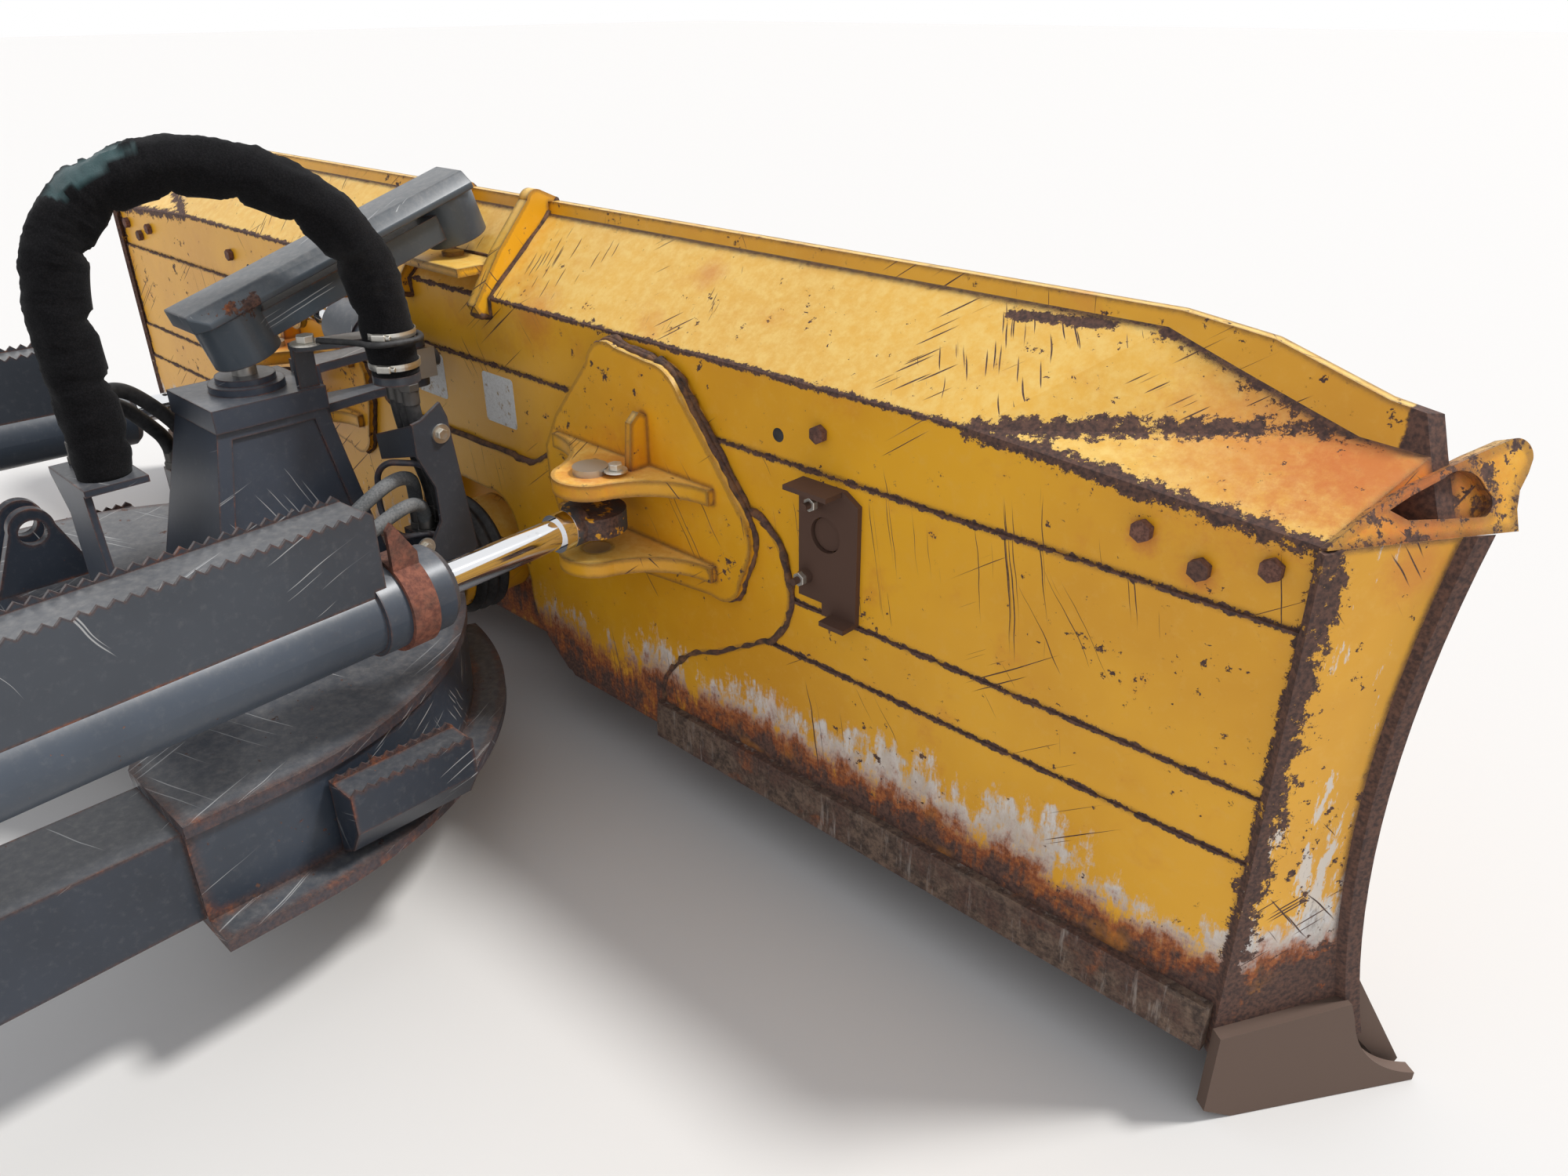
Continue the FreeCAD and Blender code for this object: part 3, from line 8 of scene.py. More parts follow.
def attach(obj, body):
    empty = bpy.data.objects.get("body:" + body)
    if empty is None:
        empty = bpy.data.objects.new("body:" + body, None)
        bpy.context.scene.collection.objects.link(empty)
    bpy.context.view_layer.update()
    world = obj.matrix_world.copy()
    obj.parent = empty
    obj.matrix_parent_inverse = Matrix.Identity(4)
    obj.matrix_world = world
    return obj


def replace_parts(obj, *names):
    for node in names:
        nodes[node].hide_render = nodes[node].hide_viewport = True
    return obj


# %% [markdown]
# # A six-way dozer blade on its push frame
# The blade, its frame and its cylinders come from CAD as a fixed frame of nodes. This file adds the looks:
# worn paint, rust, weld beads, bolts, hoses and the cloth sleeve round them. Metres, +X along the blade, +Y
# forwards, +Z up.

# %% Load the frame
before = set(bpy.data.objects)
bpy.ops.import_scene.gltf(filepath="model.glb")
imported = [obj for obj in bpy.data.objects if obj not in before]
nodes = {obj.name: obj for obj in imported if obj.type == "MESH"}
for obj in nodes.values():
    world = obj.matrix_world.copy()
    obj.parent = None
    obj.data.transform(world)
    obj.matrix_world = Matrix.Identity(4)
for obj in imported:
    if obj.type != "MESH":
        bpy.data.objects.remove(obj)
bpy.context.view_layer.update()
GROUND = -0.470
BACK = 2.570
print("nodes:", len(nodes))


# %% [markdown]
# ## Places
# The drawing of the real blade counts height from the ground and depth from the flat back. One helper turns
# such a place into the frame's metres, so that the numbers below read like the drawing.

# %% Places on the blade
def spot(x, y, height):
    """A place given in millimetres: x from the middle, y ahead of the flat back, height above the ground."""
    return Vector((x / 1000, BACK + y / 1000, height / 1000 + GROUND))


def add_object(name, data):
    obj = bpy.data.objects.new(name, data)
    bpy.context.scene.collection.objects.link(obj)
    return obj


def finish_mesh(bm, name, smooth=False):
    """Turns a bmesh into an object at the origin."""
    mesh = bpy.data.meshes.new(name)
    bm.normal_update()
    bm.to_mesh(mesh)
    bm.free()
    for face in mesh.polygons:
        face.use_smooth = smooth
    return add_object(name, mesh)


def make_piece(bm, name, material, body="blade", smooth=False):
    """Makes a piece with its material and the body it rides on."""
    piece = finish_mesh(bm, name, smooth)
    piece.data.materials.append(material)
    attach(piece, body)
    print(name, "faces", len(piece.data.polygons))
    return piece


def soften(bm, made, reach, segments=2):
    """Rounds the edges that are given, or all of a form that an operator has just made."""
    if isinstance(made, dict):
        made = list({edge for vertex in made["verts"] for edge in vertex.link_edges})
    bmesh.ops.bevel(bm, geom=made, offset=reach, offset_type="OFFSET", segments=segments, profile=0.5,
                    affect="EDGES", material=-1)


# %% [markdown]
# ## Camera
# The picture was taken from behind the right angle cylinder, at the height of a standing person, with a
# wide lens. The view was worked out from the blade's parallel seams and its evenly placed bolts, so the
# numbers are kept as they are.

# %% Camera
lens = bpy.data.cameras.new("eye")
lens.lens = 26.396
lens.sensor_width = 36
lens.clip_end = 200
camera = add_object("eye", lens)
right = Vector((0.7307687, 0.68261001, -0.00454898))
down = Vector((0.30962882, -0.33739766, -0.88898415))
ahead = Vector((-0.60836429, 0.64823329, -0.45791538))
turn = Matrix((right, -down, -ahead)).transposed().to_4x4()
camera.matrix_world = Matrix.Translation((2.1159, 1.3200, 0.9675)) @ turn
bpy.context.scene.camera = camera

# %% [markdown]
# ## Hoses
# Seven rubber hoses run beside the tower, and a thick bundle of them crosses from the tractor inside a
# cloth sleeve. A hose could be a chain of straight pipes, but a smooth spline bends evenly as rubber does,
# so each is one curve with a round bevel. The points are those of the CAD tubes.

# %% Hoses
SLEEVE_ROUTE = ((192, -236, 828), (192, -236, 930), (186, -246, 1020), (163, -282, 1104), (125, -350, 1165),
                (85, -432, 1200), (50, -530, 1208), (22, -622, 1175), (6, -682, 1105), (0, -704, 1010),
                (0, -706, 905), (0, -700, 805), (0, -700, 712))
DROP_ROUTE = ((-230, 812), (-230, 742), (-207, 650), (-186, 570), (-186, 505))
HOSES = {
    "left_hose_a": ((-62, -707, 712), (-62, -707, 775), (-72, -667, 826), (-88, -615, 829),
                    (-101, -560, 774), (-118, -513, 706), (-118, -513, 640)),
    "left_hose_b": ((-94, -707, 712), (-94, -707, 763), (-106, -664, 801), (-120, -616, 792),
                    (-132, -571, 737), (-148, -538, 690), (-148, -538, 640)),
    "right_hose_a": ((205, -452, 460), (205, -452, 515), (206, -407, 570), (207, -348, 607),
                     (205, -285, 634), (190, -238, 622), (162, -222, 570), (162, -222, 505)),
    "right_hose_b": ((238, -452, 460), (238, -452, 507), (238, -402, 540), (238, -348, 568),
                     (236, -290, 588), (222, -248, 580), (203, -230, 545), (203, -230, 505)),
}
for letter, across in (("a", 164), ("b", 192), ("c", 220)):
    HOSES["drop_hose_" + letter] = tuple((across, y, height) for y, height in DROP_ROUTE)
HOSE_ROUND = 0.0135
hoses = {}


def cord_curve(name, route, radius, steps=12):
    """A round cord along the smooth line that the route's points control."""
    curve = bpy.data.curves.new(name, "CURVE")
    curve.dimensions = "3D"
    curve.bevel_depth = 1.0 if radius else 0.0
    curve.bevel_resolution = 5
    curve.use_fill_caps = True
    spline = curve.splines.new("NURBS")
    spline.points.add(len(route) - 1)
    for point, place in zip(spline.points, route):
        point.co = (*spot(*place), 1)
        point.radius = radius
    spline.order_u = 3
    spline.use_endpoint_u = True
    spline.resolution_u = steps
    return add_object(name, curve)


def line_of(name, route, steps):
    """The points of a route's smooth line."""
    bare = cord_curve(name, route, 0.0, steps)
    mesh = bpy.data.meshes.new_from_object(bare)
    points = [vertex.co.copy() for vertex in mesh.vertices]
    bpy.data.objects.remove(bare)
    bpy.data.meshes.remove(mesh)
    return points


def length_of(points):
    return sum((b - a).length for a, b in zip(points, points[1:]))


for name, route in HOSES.items():
    hose = cord_curve(name + "_cord", route, HOSE_ROUND)
    length = length_of(line_of(name + "_line", route, 24))
    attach(hose, "c_frame")
    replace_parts(hose, name)
    hoses[name] = hose
    print(name, "length %.3f m" % length)

# %% [markdown]
# ## Small cable
# A thin cable runs round the clamp plate under the link. It is part of the frame's wiring and too short to
# hang, so it is one more smooth curve that keeps its place.

# %% Small cable
CABLE_ROUTE = ((118, -338, 893), (176, -300, 893), (232, -292, 894), (246, -250, 894), (246, -206, 893),
               (205, -182, 892), (150, -190, 892), (108, -215, 892))
cable = cord_curve("clamp_cable", CABLE_ROUTE, 0.0055)
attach(cable, "c_frame")
print("cable points:", len(CABLE_ROUTE))

# %% [markdown]
# ## Cloth sleeve
# The bundle wears a black cloth sleeve, closed along the inside of the bend, where it bunches into
# scallops. On top it has torn open, and a hose shows. A smooth tube would look like rubber, so the tube's
# points are moved: in and out for the bunching, outwards along the inside for the scallops, and inwards
# round the tear, which an attribute marks.

# %% Cloth sleeve
sleeve_line = line_of("sleeve_line", SLEEVE_ROUTE, 40)
sleeve_curve = cord_curve("sleeve_curve", SLEEVE_ROUTE, 0.0425, 30)
sleeve_curve.data.bevel_resolution = 9
sleeve_mesh = bpy.data.meshes.new_from_object(sleeve_curve)
bpy.data.objects.remove(sleeve_curve)
tree_of_line = kdtree.KDTree(len(sleeve_line))
for index, point in enumerate(sleeve_line):
    tree_of_line.insert(point, index)
tree_of_line.balance()
travel = [0.0]
for a, b in zip(sleeve_line, sleeve_line[1:]):
    travel.append(travel[-1] + (b - a).length)
SLEEVE_LENGTH = travel[-1]
INSIDE = spot(96, -470, 900)
TEAR_AT, TEAR_LONG, TEAR_WIDE, TEAR_DEEP = 0.665, 0.085, 0.42, 0.007
SCALLOP_STEP, SCALLOP_DEEP, BULGE_LIMIT = 0.112, 0.016, 0.0118


def bell(value, width):
    return math.exp(-(value / width) ** 2)


sleeve_bm = bmesh.new()
sleeve_bm.from_mesh(sleeve_mesh)
bmesh.ops.remove_doubles(sleeve_bm, verts=sleeve_bm.verts, dist=0.00005)
torn_layer = sleeve_bm.verts.layers.float.new("torn")
outer = Vector((0.35, -0.25, 0.9)).normalized()
for vertex in sleeve_bm.verts:
    middle, index, gap = tree_of_line.find(vertex.co)
    if gap < 0.02:
        continue
    along = travel[index]
    away = (vertex.co - middle).normalized()
    ahead_of = sleeve_line[min(index + 1, len(sleeve_line) - 1)] - sleeve_line[max(index - 1, 0)]
    inward = INSIDE - middle
    inward = (inward - ahead_of * inward.dot(ahead_of) / ahead_of.length_squared).normalized()
    rest = max(0.0, min(1.0, along / 0.14, (SLEEVE_LENGTH - along) / 0.05))
    bunch = 0.0042 * pattern.noise(Vector((along * 30, away.x * 1.4, away.z * 1.4)))
    bunch += 0.0036 * pattern.noise(away * 2.6 + Vector((0, along * 16, 0)))
    bunch += 0.0022 * pattern.noise(vertex.co * 110)
    shifted = along + 0.020 * pattern.noise(Vector((along * 5, 3, 1)))
    wave = abs(math.sin(math.pi * shifted / SCALLOP_STEP))
    flap = SCALLOP_DEEP * wave ** 0.7 * max(0.0, (away.dot(inward) - 0.80) / 0.20)
    facing = max(0.0, away.dot(outer))
    tear = bell(along - TEAR_AT, TEAR_LONG) * bell(1 - facing, TEAR_WIDE)
    tear = min(1.0, max(0.0, (tear + 0.25 * pattern.noise(vertex.co * 60) - 0.52) / 0.10))
    vertex[torn_layer] = tear
    vertex.co += away * (rest * min(BULGE_LIMIT, bunch + flap) - TEAR_DEEP * tear)
bmesh.ops.recalc_face_normals(sleeve_bm, faces=sleeve_bm.faces)
sleeve = finish_mesh(sleeve_bm, "hose_sleeve", smooth=True)
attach(sleeve, "c_frame")
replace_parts(sleeve, "hose_bundle")
print("sleeve: %.3f m, %d points" % (SLEEVE_LENGTH, len(sleeve.data.vertices)))


# %% [markdown]
# ## Node helpers
# Each finish is a small net of nodes. A few helpers keep the nets short: one adds a node and fills its
# sockets, one makes a group with named sockets, and the others are the sums and mixes that come back most.

# %% Node helpers
def feed(net, socket, value):
    """Links a socket, or sets a number or colour."""
    if isinstance(value, bpy.types.NodeSocket):
        net.links.new(value, socket)
    else:
        socket.default_value = value


def put(net, kind, inputs=None, **settings):
    """Adds a node. Each input is a number or colour, or the socket to link from."""
    made = net.nodes.new(kind)
    for key, value in settings.items():
        setattr(made, key, value)
    for key, value in (inputs or {}).items():
        feed(net, made.inputs[key], value)
    return made


KINDS = {"Position": "Vector", "A": "Vector", "B": "Vector", "Middle": "Vector",
         "Color": "Color", "Tint": "Color", "Dark": "Color", "Light": "Color"}


def group(inputs, outputs):
    """Makes a node group of a function on sockets. Called with a net and values, the name then places it."""
    def build(form):
        made = bpy.data.node_groups.new(form.__name__, "ShaderNodeTree")
        for way, labels in (("INPUT", inputs), ("OUTPUT", outputs)):
            for label in labels.split():
                kind = "NodeSocket" + KINDS.get(label, "Float")
                made.interface.new_socket(name=label, in_out=way, socket_type=kind)
        results = form(made, *made.nodes.new("NodeGroupInput").outputs[:len(inputs.split())])
        results = results if isinstance(results, tuple) else (results,)
        for result, socket in zip(results, made.nodes.new("NodeGroupOutput").inputs):
            made.links.new(result, socket)

        def place(net, *values):
            sockets = put(net, "ShaderNodeGroup", dict(enumerate(values)), node_tree=made).outputs
            return list(sockets) if len(results) > 1 else sockets[0]
        return place
    return build


def sums(net, operation, a, b=0.0, clamp=False):
    return put(net, "ShaderNodeMath", {0: a, 1: b}, operation=operation, use_clamp=clamp).outputs[0]


def plus(net, a, b):
    return sums(net, "ADD", a, b)


def less(net, a, b):
    return sums(net, "SUBTRACT", a, b)


def times(net, a, b):
    return sums(net, "MULTIPLY", a, b)


def vector(net, operation, a, b, output=0):
    return put(net, "ShaderNodeVectorMath", {0: a, 1: b}, operation=operation).outputs[output]


def apart(net, a, b):
    """The distance between two places."""
    return vector(net, "DISTANCE", a, b, "Value")


def stretched(net, where, factors, detail, rough):
    """A noise on coordinates that are stretched by three factors."""
    return noise(net, vector(net, "MULTIPLY", where, factors), 1.0, detail, rough)


def mix(net, factor, a, b):
    return put(net, "ShaderNodeMix", {0: factor, 6: a, 7: b}, data_type="RGBA").outputs[2]


def choose(net, mask, a, b):
    return put(net, "ShaderNodeMix", {0: mask, 2: a, 3: b}, data_type="FLOAT").outputs[0]


def ramp(net, value, low, high, to_low=0.0, to_high=1.0):
    """A soft step from one value to another, as the input goes from low to high."""
    ends = {"Value": value, "From Min": low, "From Max": high, "To Min": to_low, "To Max": to_high}
    return put(net, "ShaderNodeMapRange", ends, interpolation_type="SMOOTHSTEP").outputs[0]


def noise(net, where, scale, detail=4.0, rough=0.6):
    inputs = {"Vector": where, "Scale": scale, "Detail": detail, "Roughness": rough}
    return put(net, "ShaderNodeTexNoise", inputs).outputs["Fac"]


def axes(net, where):
    return list(put(net, "ShaderNodeSeparateXYZ", {0: where}).outputs)


def most(net, masks):
    """The largest of several masks."""
    top = masks[0]
    for mask in masks[1:]:
        top = sums(net, "MAXIMUM", top, mask)
    return top


def up_facing(net):
    """How far a surface faces up, with the piece at rest."""
    return axes(net, net.nodes.new("ShaderNodeTexCoord").outputs["Normal"])[2]


def above_ground(net, where):
    return less(net, axes(net, where)[2], GROUND)


# %% [markdown]
# ## Floor and light
# A studio would use a paper sweep and large soft lamps. Here one broad sun from the front right makes the
# blade's sloped top bright and leaves its back in soft light, and the sky fills the rest. Only camera and
# mirror rays see the sky as white, so the background is clean and adds no light.

# %% Floor
sheet = bmesh.new()
bmesh.ops.create_grid(sheet, x_segments=1, y_segments=1, size=60)
bmesh.ops.translate(sheet, vec=(0, 0, GROUND - 0.001), verts=sheet.verts)
floor = finish_mesh(sheet, "floor")

# %% Light
SUN_FROM = Vector((0.42, 0.46, 0.9))
sun = bpy.data.lights.new("sun", "SUN")
sun.energy = 2.8
sun.angle = math.radians(10)
add_object("sun", sun).rotation_euler = SUN_FROM.to_track_quat("Z", "Y").to_euler()
world = bpy.data.worlds.new("sky")
bpy.context.scene.world = world
world.use_nodes = True
sky = world.node_tree
fill = sky.nodes["Background"]
fill.inputs["Color"].default_value = (0.90, 0.93, 1.0, 1)
fill.inputs["Strength"].default_value = 0.80
white = put(sky, "ShaderNodeBackground", {"Color": (1, 1, 1, 1)})
rays = put(sky, "ShaderNodeLightPath").outputs
seen = most(sky, [rays["Is Camera Ray"], rays["Is Glossy Ray"], rays["Is Transmission Ray"]])
backdrop = put(sky, "ShaderNodeMixShader", {0: seen, 1: fill.outputs[0], 2: white.outputs[0]})
sky.links.new(backdrop.outputs[0], sky.nodes["World Output"].inputs["Surface"])
bpy.context.scene.view_settings.view_transform = "Standard"
print("light: one sun and a pale sky")


# %% [markdown]
# ## Wear
# The paint is worn in a few ways that come back on every piece: bare bands along creases and edges, chips,
# long scratches and rust. Each is a group that puts out a mask, so that every finish can use it with its
# own amount.

# %% Wear groups
@group("Position A B Width Ragged", "Mask")
def worn_line(net, where, a, b, width, ragged):
    """1 near the straight line from a to b, with a rim that a noise moves in and out."""
    along = vector(net, "SUBTRACT", b, a)
    away = vector(net, "SUBTRACT", where, a)
    share = sums(net, "DIVIDE", vector(net, "DOT_PRODUCT", away, along, "Value"),
                 vector(net, "DOT_PRODUCT", along, along, "Value"), clamp=True)
    near = put(net, "ShaderNodeVectorMath", {0: along, "Scale": share}, operation="SCALE").outputs[0]
    swing = times(net, less(net, ragged, 0.5), 5.5)
    reach = plus(net, sums(net, "DIVIDE", apart(net, away, near), width), swing)
    return ramp(net, reach, 1.0, 0.8)


@group("Radius Ragged Amount", "Mask")
def edge_wear(net, radius, ragged, amount):
    """1 on sharp edges, where the rounded and the true normal differ, broken up by a noise."""
    rounded_normal = put(net, "ShaderNodeBevel", {"Radius": radius}, samples=3).outputs[0]
    true_normal = put(net, "ShaderNodeNewGeometry").outputs["True Normal"]
    same = vector(net, "DOT_PRODUCT", rounded_normal, true_normal, "Value")
    bent = times(net, less(net, 1.0, same), 4.5)
    swing = times(net, less(net, ragged, 0.5), 2.2)
    return ramp(net, plus(net, plus(net, bent, swing), amount), 0.94, 1.06)


@group("Position Scale Amount", "Mask")
def chips(net, where, scale, amount):
    """Small flakes that lie in clusters."""
    clusters = times(net, less(net, noise(net, where, 3.1, 3.0, 0.6), 0.5), 0.35)
    both = plus(net, noise(net, where, scale, 5.0, 0.7), clusters)
    return ramp(net, less(net, both, less(net, 0.78, amount)), 0.0, 0.02)


@group("Position Turn Shift Amount", "Mask")
def scratches(net, where, turn, shift, amount):
    """Long thin scratches: cells stretched into needles that lie in the surface, bent by a noise."""
    normal = axes(net, net.nodes.new("ShaderNodeTexCoord").outputs["Normal"])
    side, flat = [sums(net, "GREATER_THAN", sums(net, "ABSOLUTE", part), 0.7) for part in normal[::2]]
    x, y, z = axes(net, where)
    across = choose(net, flat, choose(net, side, y, x), z)
    parts = {0: choose(net, side, x, y), 1: across, 2: choose(net, flat, z, y)}
    plane = put(net, "ShaderNodeCombineXYZ", parts).outputs[0]
    bent = vector(net, "ADD", plane, times(net, noise(net, plane, 7.0, 2.0, 0.5), 0.020))
    turned = put(net, "ShaderNodeVectorRotate", {"Vector": bent, "Axis": (0, 1, 0), "Angle": turn})
    shifted = vector(net, "ADD", turned.outputs[0], shift)
    needles = vector(net, "MULTIPLY", shifted, (2.4, 18.0, 230.0))
    cells = put(net, "ShaderNodeTexVoronoi", {"Vector": needles, "Scale": 1.0}).outputs
    crowd = times(net, less(net, noise(net, shifted, 3.3, 2.0, 0.6), 0.5), 1.6)
    level = plus(net, plus(net, axes(net, cells["Color"])[0], crowd), times(net, amount, 0.5))
    reach = ramp(net, level, 0.96, 1.45, 0.0001, 0.36)
    return ramp(net, sums(net, "DIVIDE", cells["Distance"], reach), 1.0, 0.6)


BROWN = (0.038, 0.020, 0.017, 1), (0.125, 0.060, 0.040, 1)
ORANGE = (0.21, 0.050, 0.012, 1), (0.40, 0.120, 0.026, 1)
OLD, FRESH = 0.12, 0.75


@group("Position Fresh", "Color")
def rust(net, where, fresh):
    """Brown rust, with more orange patches the fresher it is."""
    grain = noise(net, where, 160.0, 3.0, 0.6)
    brown = mix(net, ramp(net, grain, 0.3, 0.7), *BROWN)
    orange = mix(net, ramp(net, grain, 0.35, 0.7), *ORANGE)
    patch = plus(net, noise(net, where, 14.0, 5.0, 0.7), less(net, fresh, 0.5))
    return mix(net, ramp(net, patch, 0.42, 0.62), brown, orange)


@group("Color Tint Fine Rise Low High Least Full", "Color")
def dust_and_highlight(net, colour, tint, fine, rise, low, high, least, full):
    """Pale dust on what faces up, broken up by a fine noise; with a bright tint it is also painted highlight
    on the tops.
    """
    up = ramp(net, up_facing(net), rise, plus(net, rise, 0.65))
    return mix(net, times(net, up, ramp(net, fine, low, high, least, full)), colour, tint)


def worn_lines(net, where, ragged, lines):
    """A worn band for each line: its two ends and its width."""
    return [worn_line(net, where, a, b, width, ragged) for a, b, width in lines]


print("wear groups:", len(bpy.data.node_groups))


# %% [markdown]
# ## Yellow paint
# The blade's amber paint is pale on top with dust and painted highlight, dark brown along every crease,
# flaked to white primer above the base bar, and stained with orange rust. The clean colour comes first, and
# each mask then mixes in what shows there.

# %% Start and end of a finish
def start_finish(name):
    """A new material's net, its shader and the piece's own coordinates."""
    material = bpy.data.materials.new(name)
    material.use_nodes = True
    net = material.node_tree
    return net, net.nodes["Principled BSDF"], net.nodes.new("ShaderNodeTexCoord").outputs["Object"]


def dress(net, shader, colour, roughness, height, strength, distance):
    """Joins a finish's colour, roughness and height to its shader."""
    net.links.new(colour, shader.inputs["Base Color"])
    feed(net, shader.inputs["Roughness"], roughness)
    bump = put(net, "ShaderNodeBump", {"Height": height, "Strength": strength, "Distance": distance})
    net.links.new(bump.outputs[0], shader.inputs["Normal"])


# %% Yellow paint
AMBER = (0.66, 0.295, 0.006, 1), (0.80, 0.395, 0.012, 1)
PRIMER = (0.50, 0.45, 0.40, 1), (0.74, 0.72, 0.69, 1)
# The second colour is the bright amber of the tops: dust, and also painted highlight.
SPECK, SAND_AND_HIGHLIGHT = (0.80, 0.46, 0.10, 1), (0.88, 0.62, 0.19, 1)
STAIN, CLOUD, RUB = (0.55, 0.135, 0.018, 1), (0.64, 0.235, 0.016, 1), (0.66, 0.63, 0.58, 1)


@group("Position Pale", "Color Fine Ragged")
def amber_coat(net, where, pale):
    """The clean coat: amber with pale specks. Also its fine noise, and the rag of its worn rims."""
    fine = noise(net, where, 46.0, 4.0, 0.7)
    broad = ramp(net, noise(net, where, 1.9, 4.0, 0.6), 0.32, 0.68)
    specks = ramp(net, fine, 0.48, 0.85, pale, plus(net, pale, 0.30))
    colour = mix(net, specks, mix(net, broad, *AMBER), SPECK)
    return colour, fine, noise(net, where, 44.0, 6.0, 0.78)


@group("Color Position Ragged Middle Reach Share", "Color")
def stain(net, colour, where, ragged, middle, reach, share):
    """Orange rust round a place."""
    gap = sums(net, "DIVIDE", apart(net, where, middle), reach)
    level = plus(net, gap, times(net, ragged, 1.1))
    return mix(net, ramp(net, level, 1.5, 0.6, 0.0, share), colour, STAIN)


@group("Color Position", "Color Mask")
def low_wear(net, colour, where):
    """White primer, then rust, above the base bar; more of both towards the ground."""
    x, height = axes(net, where)[0], above_ground(net, where)
    streak = stretched(net, where, (34.0, 34.0, 8.0), 6.0, 0.78)
    shape = plus(net, times(net, streak, 0.50), times(net, noise(net, where, 4.6, 7.0, 0.72), 0.90))
    wide = most(net, [ramp(net, x, 0.55, 0.90), ramp(net, x, -0.55, -0.90)])
    wide = ramp(net, wide, 0.0, 1.0, 0.75, 1.0)
    rise = times(net, ramp(net, height, 0.47, 0.27), wide)
    primer = ramp(net, plus(net, shape, times(net, rise, 0.36)), 0.93, 1.03)
    primer = times(net, primer, ramp(net, height, 0.45, 0.41))
    chalk = mix(net, ramp(net, streak, 0.35, 0.7), *PRIMER)
    colour = mix(net, times(net, primer, 0.88), colour, chalk)
    low = times(net, ramp(net, height, 0.42, 0.17), wide)
    brown = ramp(net, plus(net, shape, times(net, low, 0.60)), 0.94, 1.12)
    colour = mix(net, brown, colour, rust(net, where, FRESH))
    core = ramp(net, plus(net, shape, times(net, low, 0.52)), 1.04, 1.15)
    return mix(net, core, colour, rust(net, where, OLD)), most(net, [brown, primer])


@group("Position Ragged Flakes Edge Radius Scratch", "Mask")
def bare_places(net, where, ragged, flakes, edge, radius, scratch):
    """Where the amber coat is gone: chips, edges and scratches in three directions."""
    cuts = [scratches(net, where, turn_by, shift, scratch)
            for turn_by, shift in ((0.62, 0.0), (-0.95, 3.0), (1.75, 7.0))]
    return most(net, [chips(net, where, 36.0, flakes), edge_wear(net, radius, ragged, edge)] + cuts)


@group("Color Position", "Color")
def orange_clouds(net, colour, where):
    """Deeper orange clouds in the amber coat."""
    share = ramp(net, noise(net, where, 9.0, 4.0, 0.65), 0.56, 0.74, 0.0, 0.45)
    return mix(net, share, colour, CLOUD)


def chalk_rubs(net, where, colour, dark):
    """White rubs on the end plates, and a dark rust-brown in streaks that grows towards the bottom."""
    height = above_ground(net, where)
    rubs = stretched(net, where, (26.0, 26.0, 7.0), 6.0, 0.75)
    level = plus(net, rubs, ramp(net, height, 0.80, 0.30, 0.0, 0.16))
    colour = mix(net, ramp(net, level, 0.63, 0.68, 0.0, 0.85), colour, RUB)
    # Darker rust-brown streaks, more of them towards the bottom.
    level = plus(net, rubs, ramp(net, height, 0.55, 0.16, 0.0, 0.30))
    return mix(net, ramp(net, level, 0.70, 0.82), colour, dark)


def yellow_paint(name, lines=(), stains=(), bottom=False, chip=0.10, scratch=0.40, edge=0.42, radius=0.007,
                 pale=0.0, sides=0.0, chalk=False):
    """Amber paint: lines are worn creases (A, B, width), stains are rusty places (middle, reach, share)."""
    net, shader, where = start_finish(name)
    colour, fine, ragged = amber_coat(net, where, pale)
    # Dust and painted highlight: up-facing surfaces take a bright amber tint that stands for dust and for
    # sunlight on the sloped top.
    colour = dust_and_highlight(net, colour, SAND_AND_HIGHLIGHT, fine, 0.25, 0.3, 0.75, 0.35, 0.85)
    dark = rust(net, where, OLD)
    for place in stains:
        colour = stain(net, colour, where, ragged, *place)
    if chalk:
        colour = chalk_rubs(net, where, colour, dark)
    rough = []
    if bottom:
        colour, low_mask = low_wear(net, colour, where)
        rough.append(low_mask)
    bare = [bare_places(net, where, ragged, chip, edge, radius, scratch)]
    bare += worn_lines(net, where, ragged, lines)
    if sides:
        out = sums(net, "ABSOLUTE", axes(net, where)[0])
        bare.append(ramp(net, plus(net, out, times(net, ragged, 0.02)), sides, sides + 0.004))
    mask = most(net, bare)
    colour = orange_clouds(net, colour, where)
    worn = most(net, [mask] + rough)
    dress(net, shader, mix(net, mask, colour, dark), ramp(net, worn, 0.0, 1.0, 0.40, 0.82),
          less(net, times(net, fine, 0.25), worn), 0.5, 0.0012)


def both_sides(a, b, width):
    """The same worn crease on the right and on the left."""
    mirror = Vector((-1, 1, 1))
    return [(a, b, width), (a * mirror, b * mirror, width)]


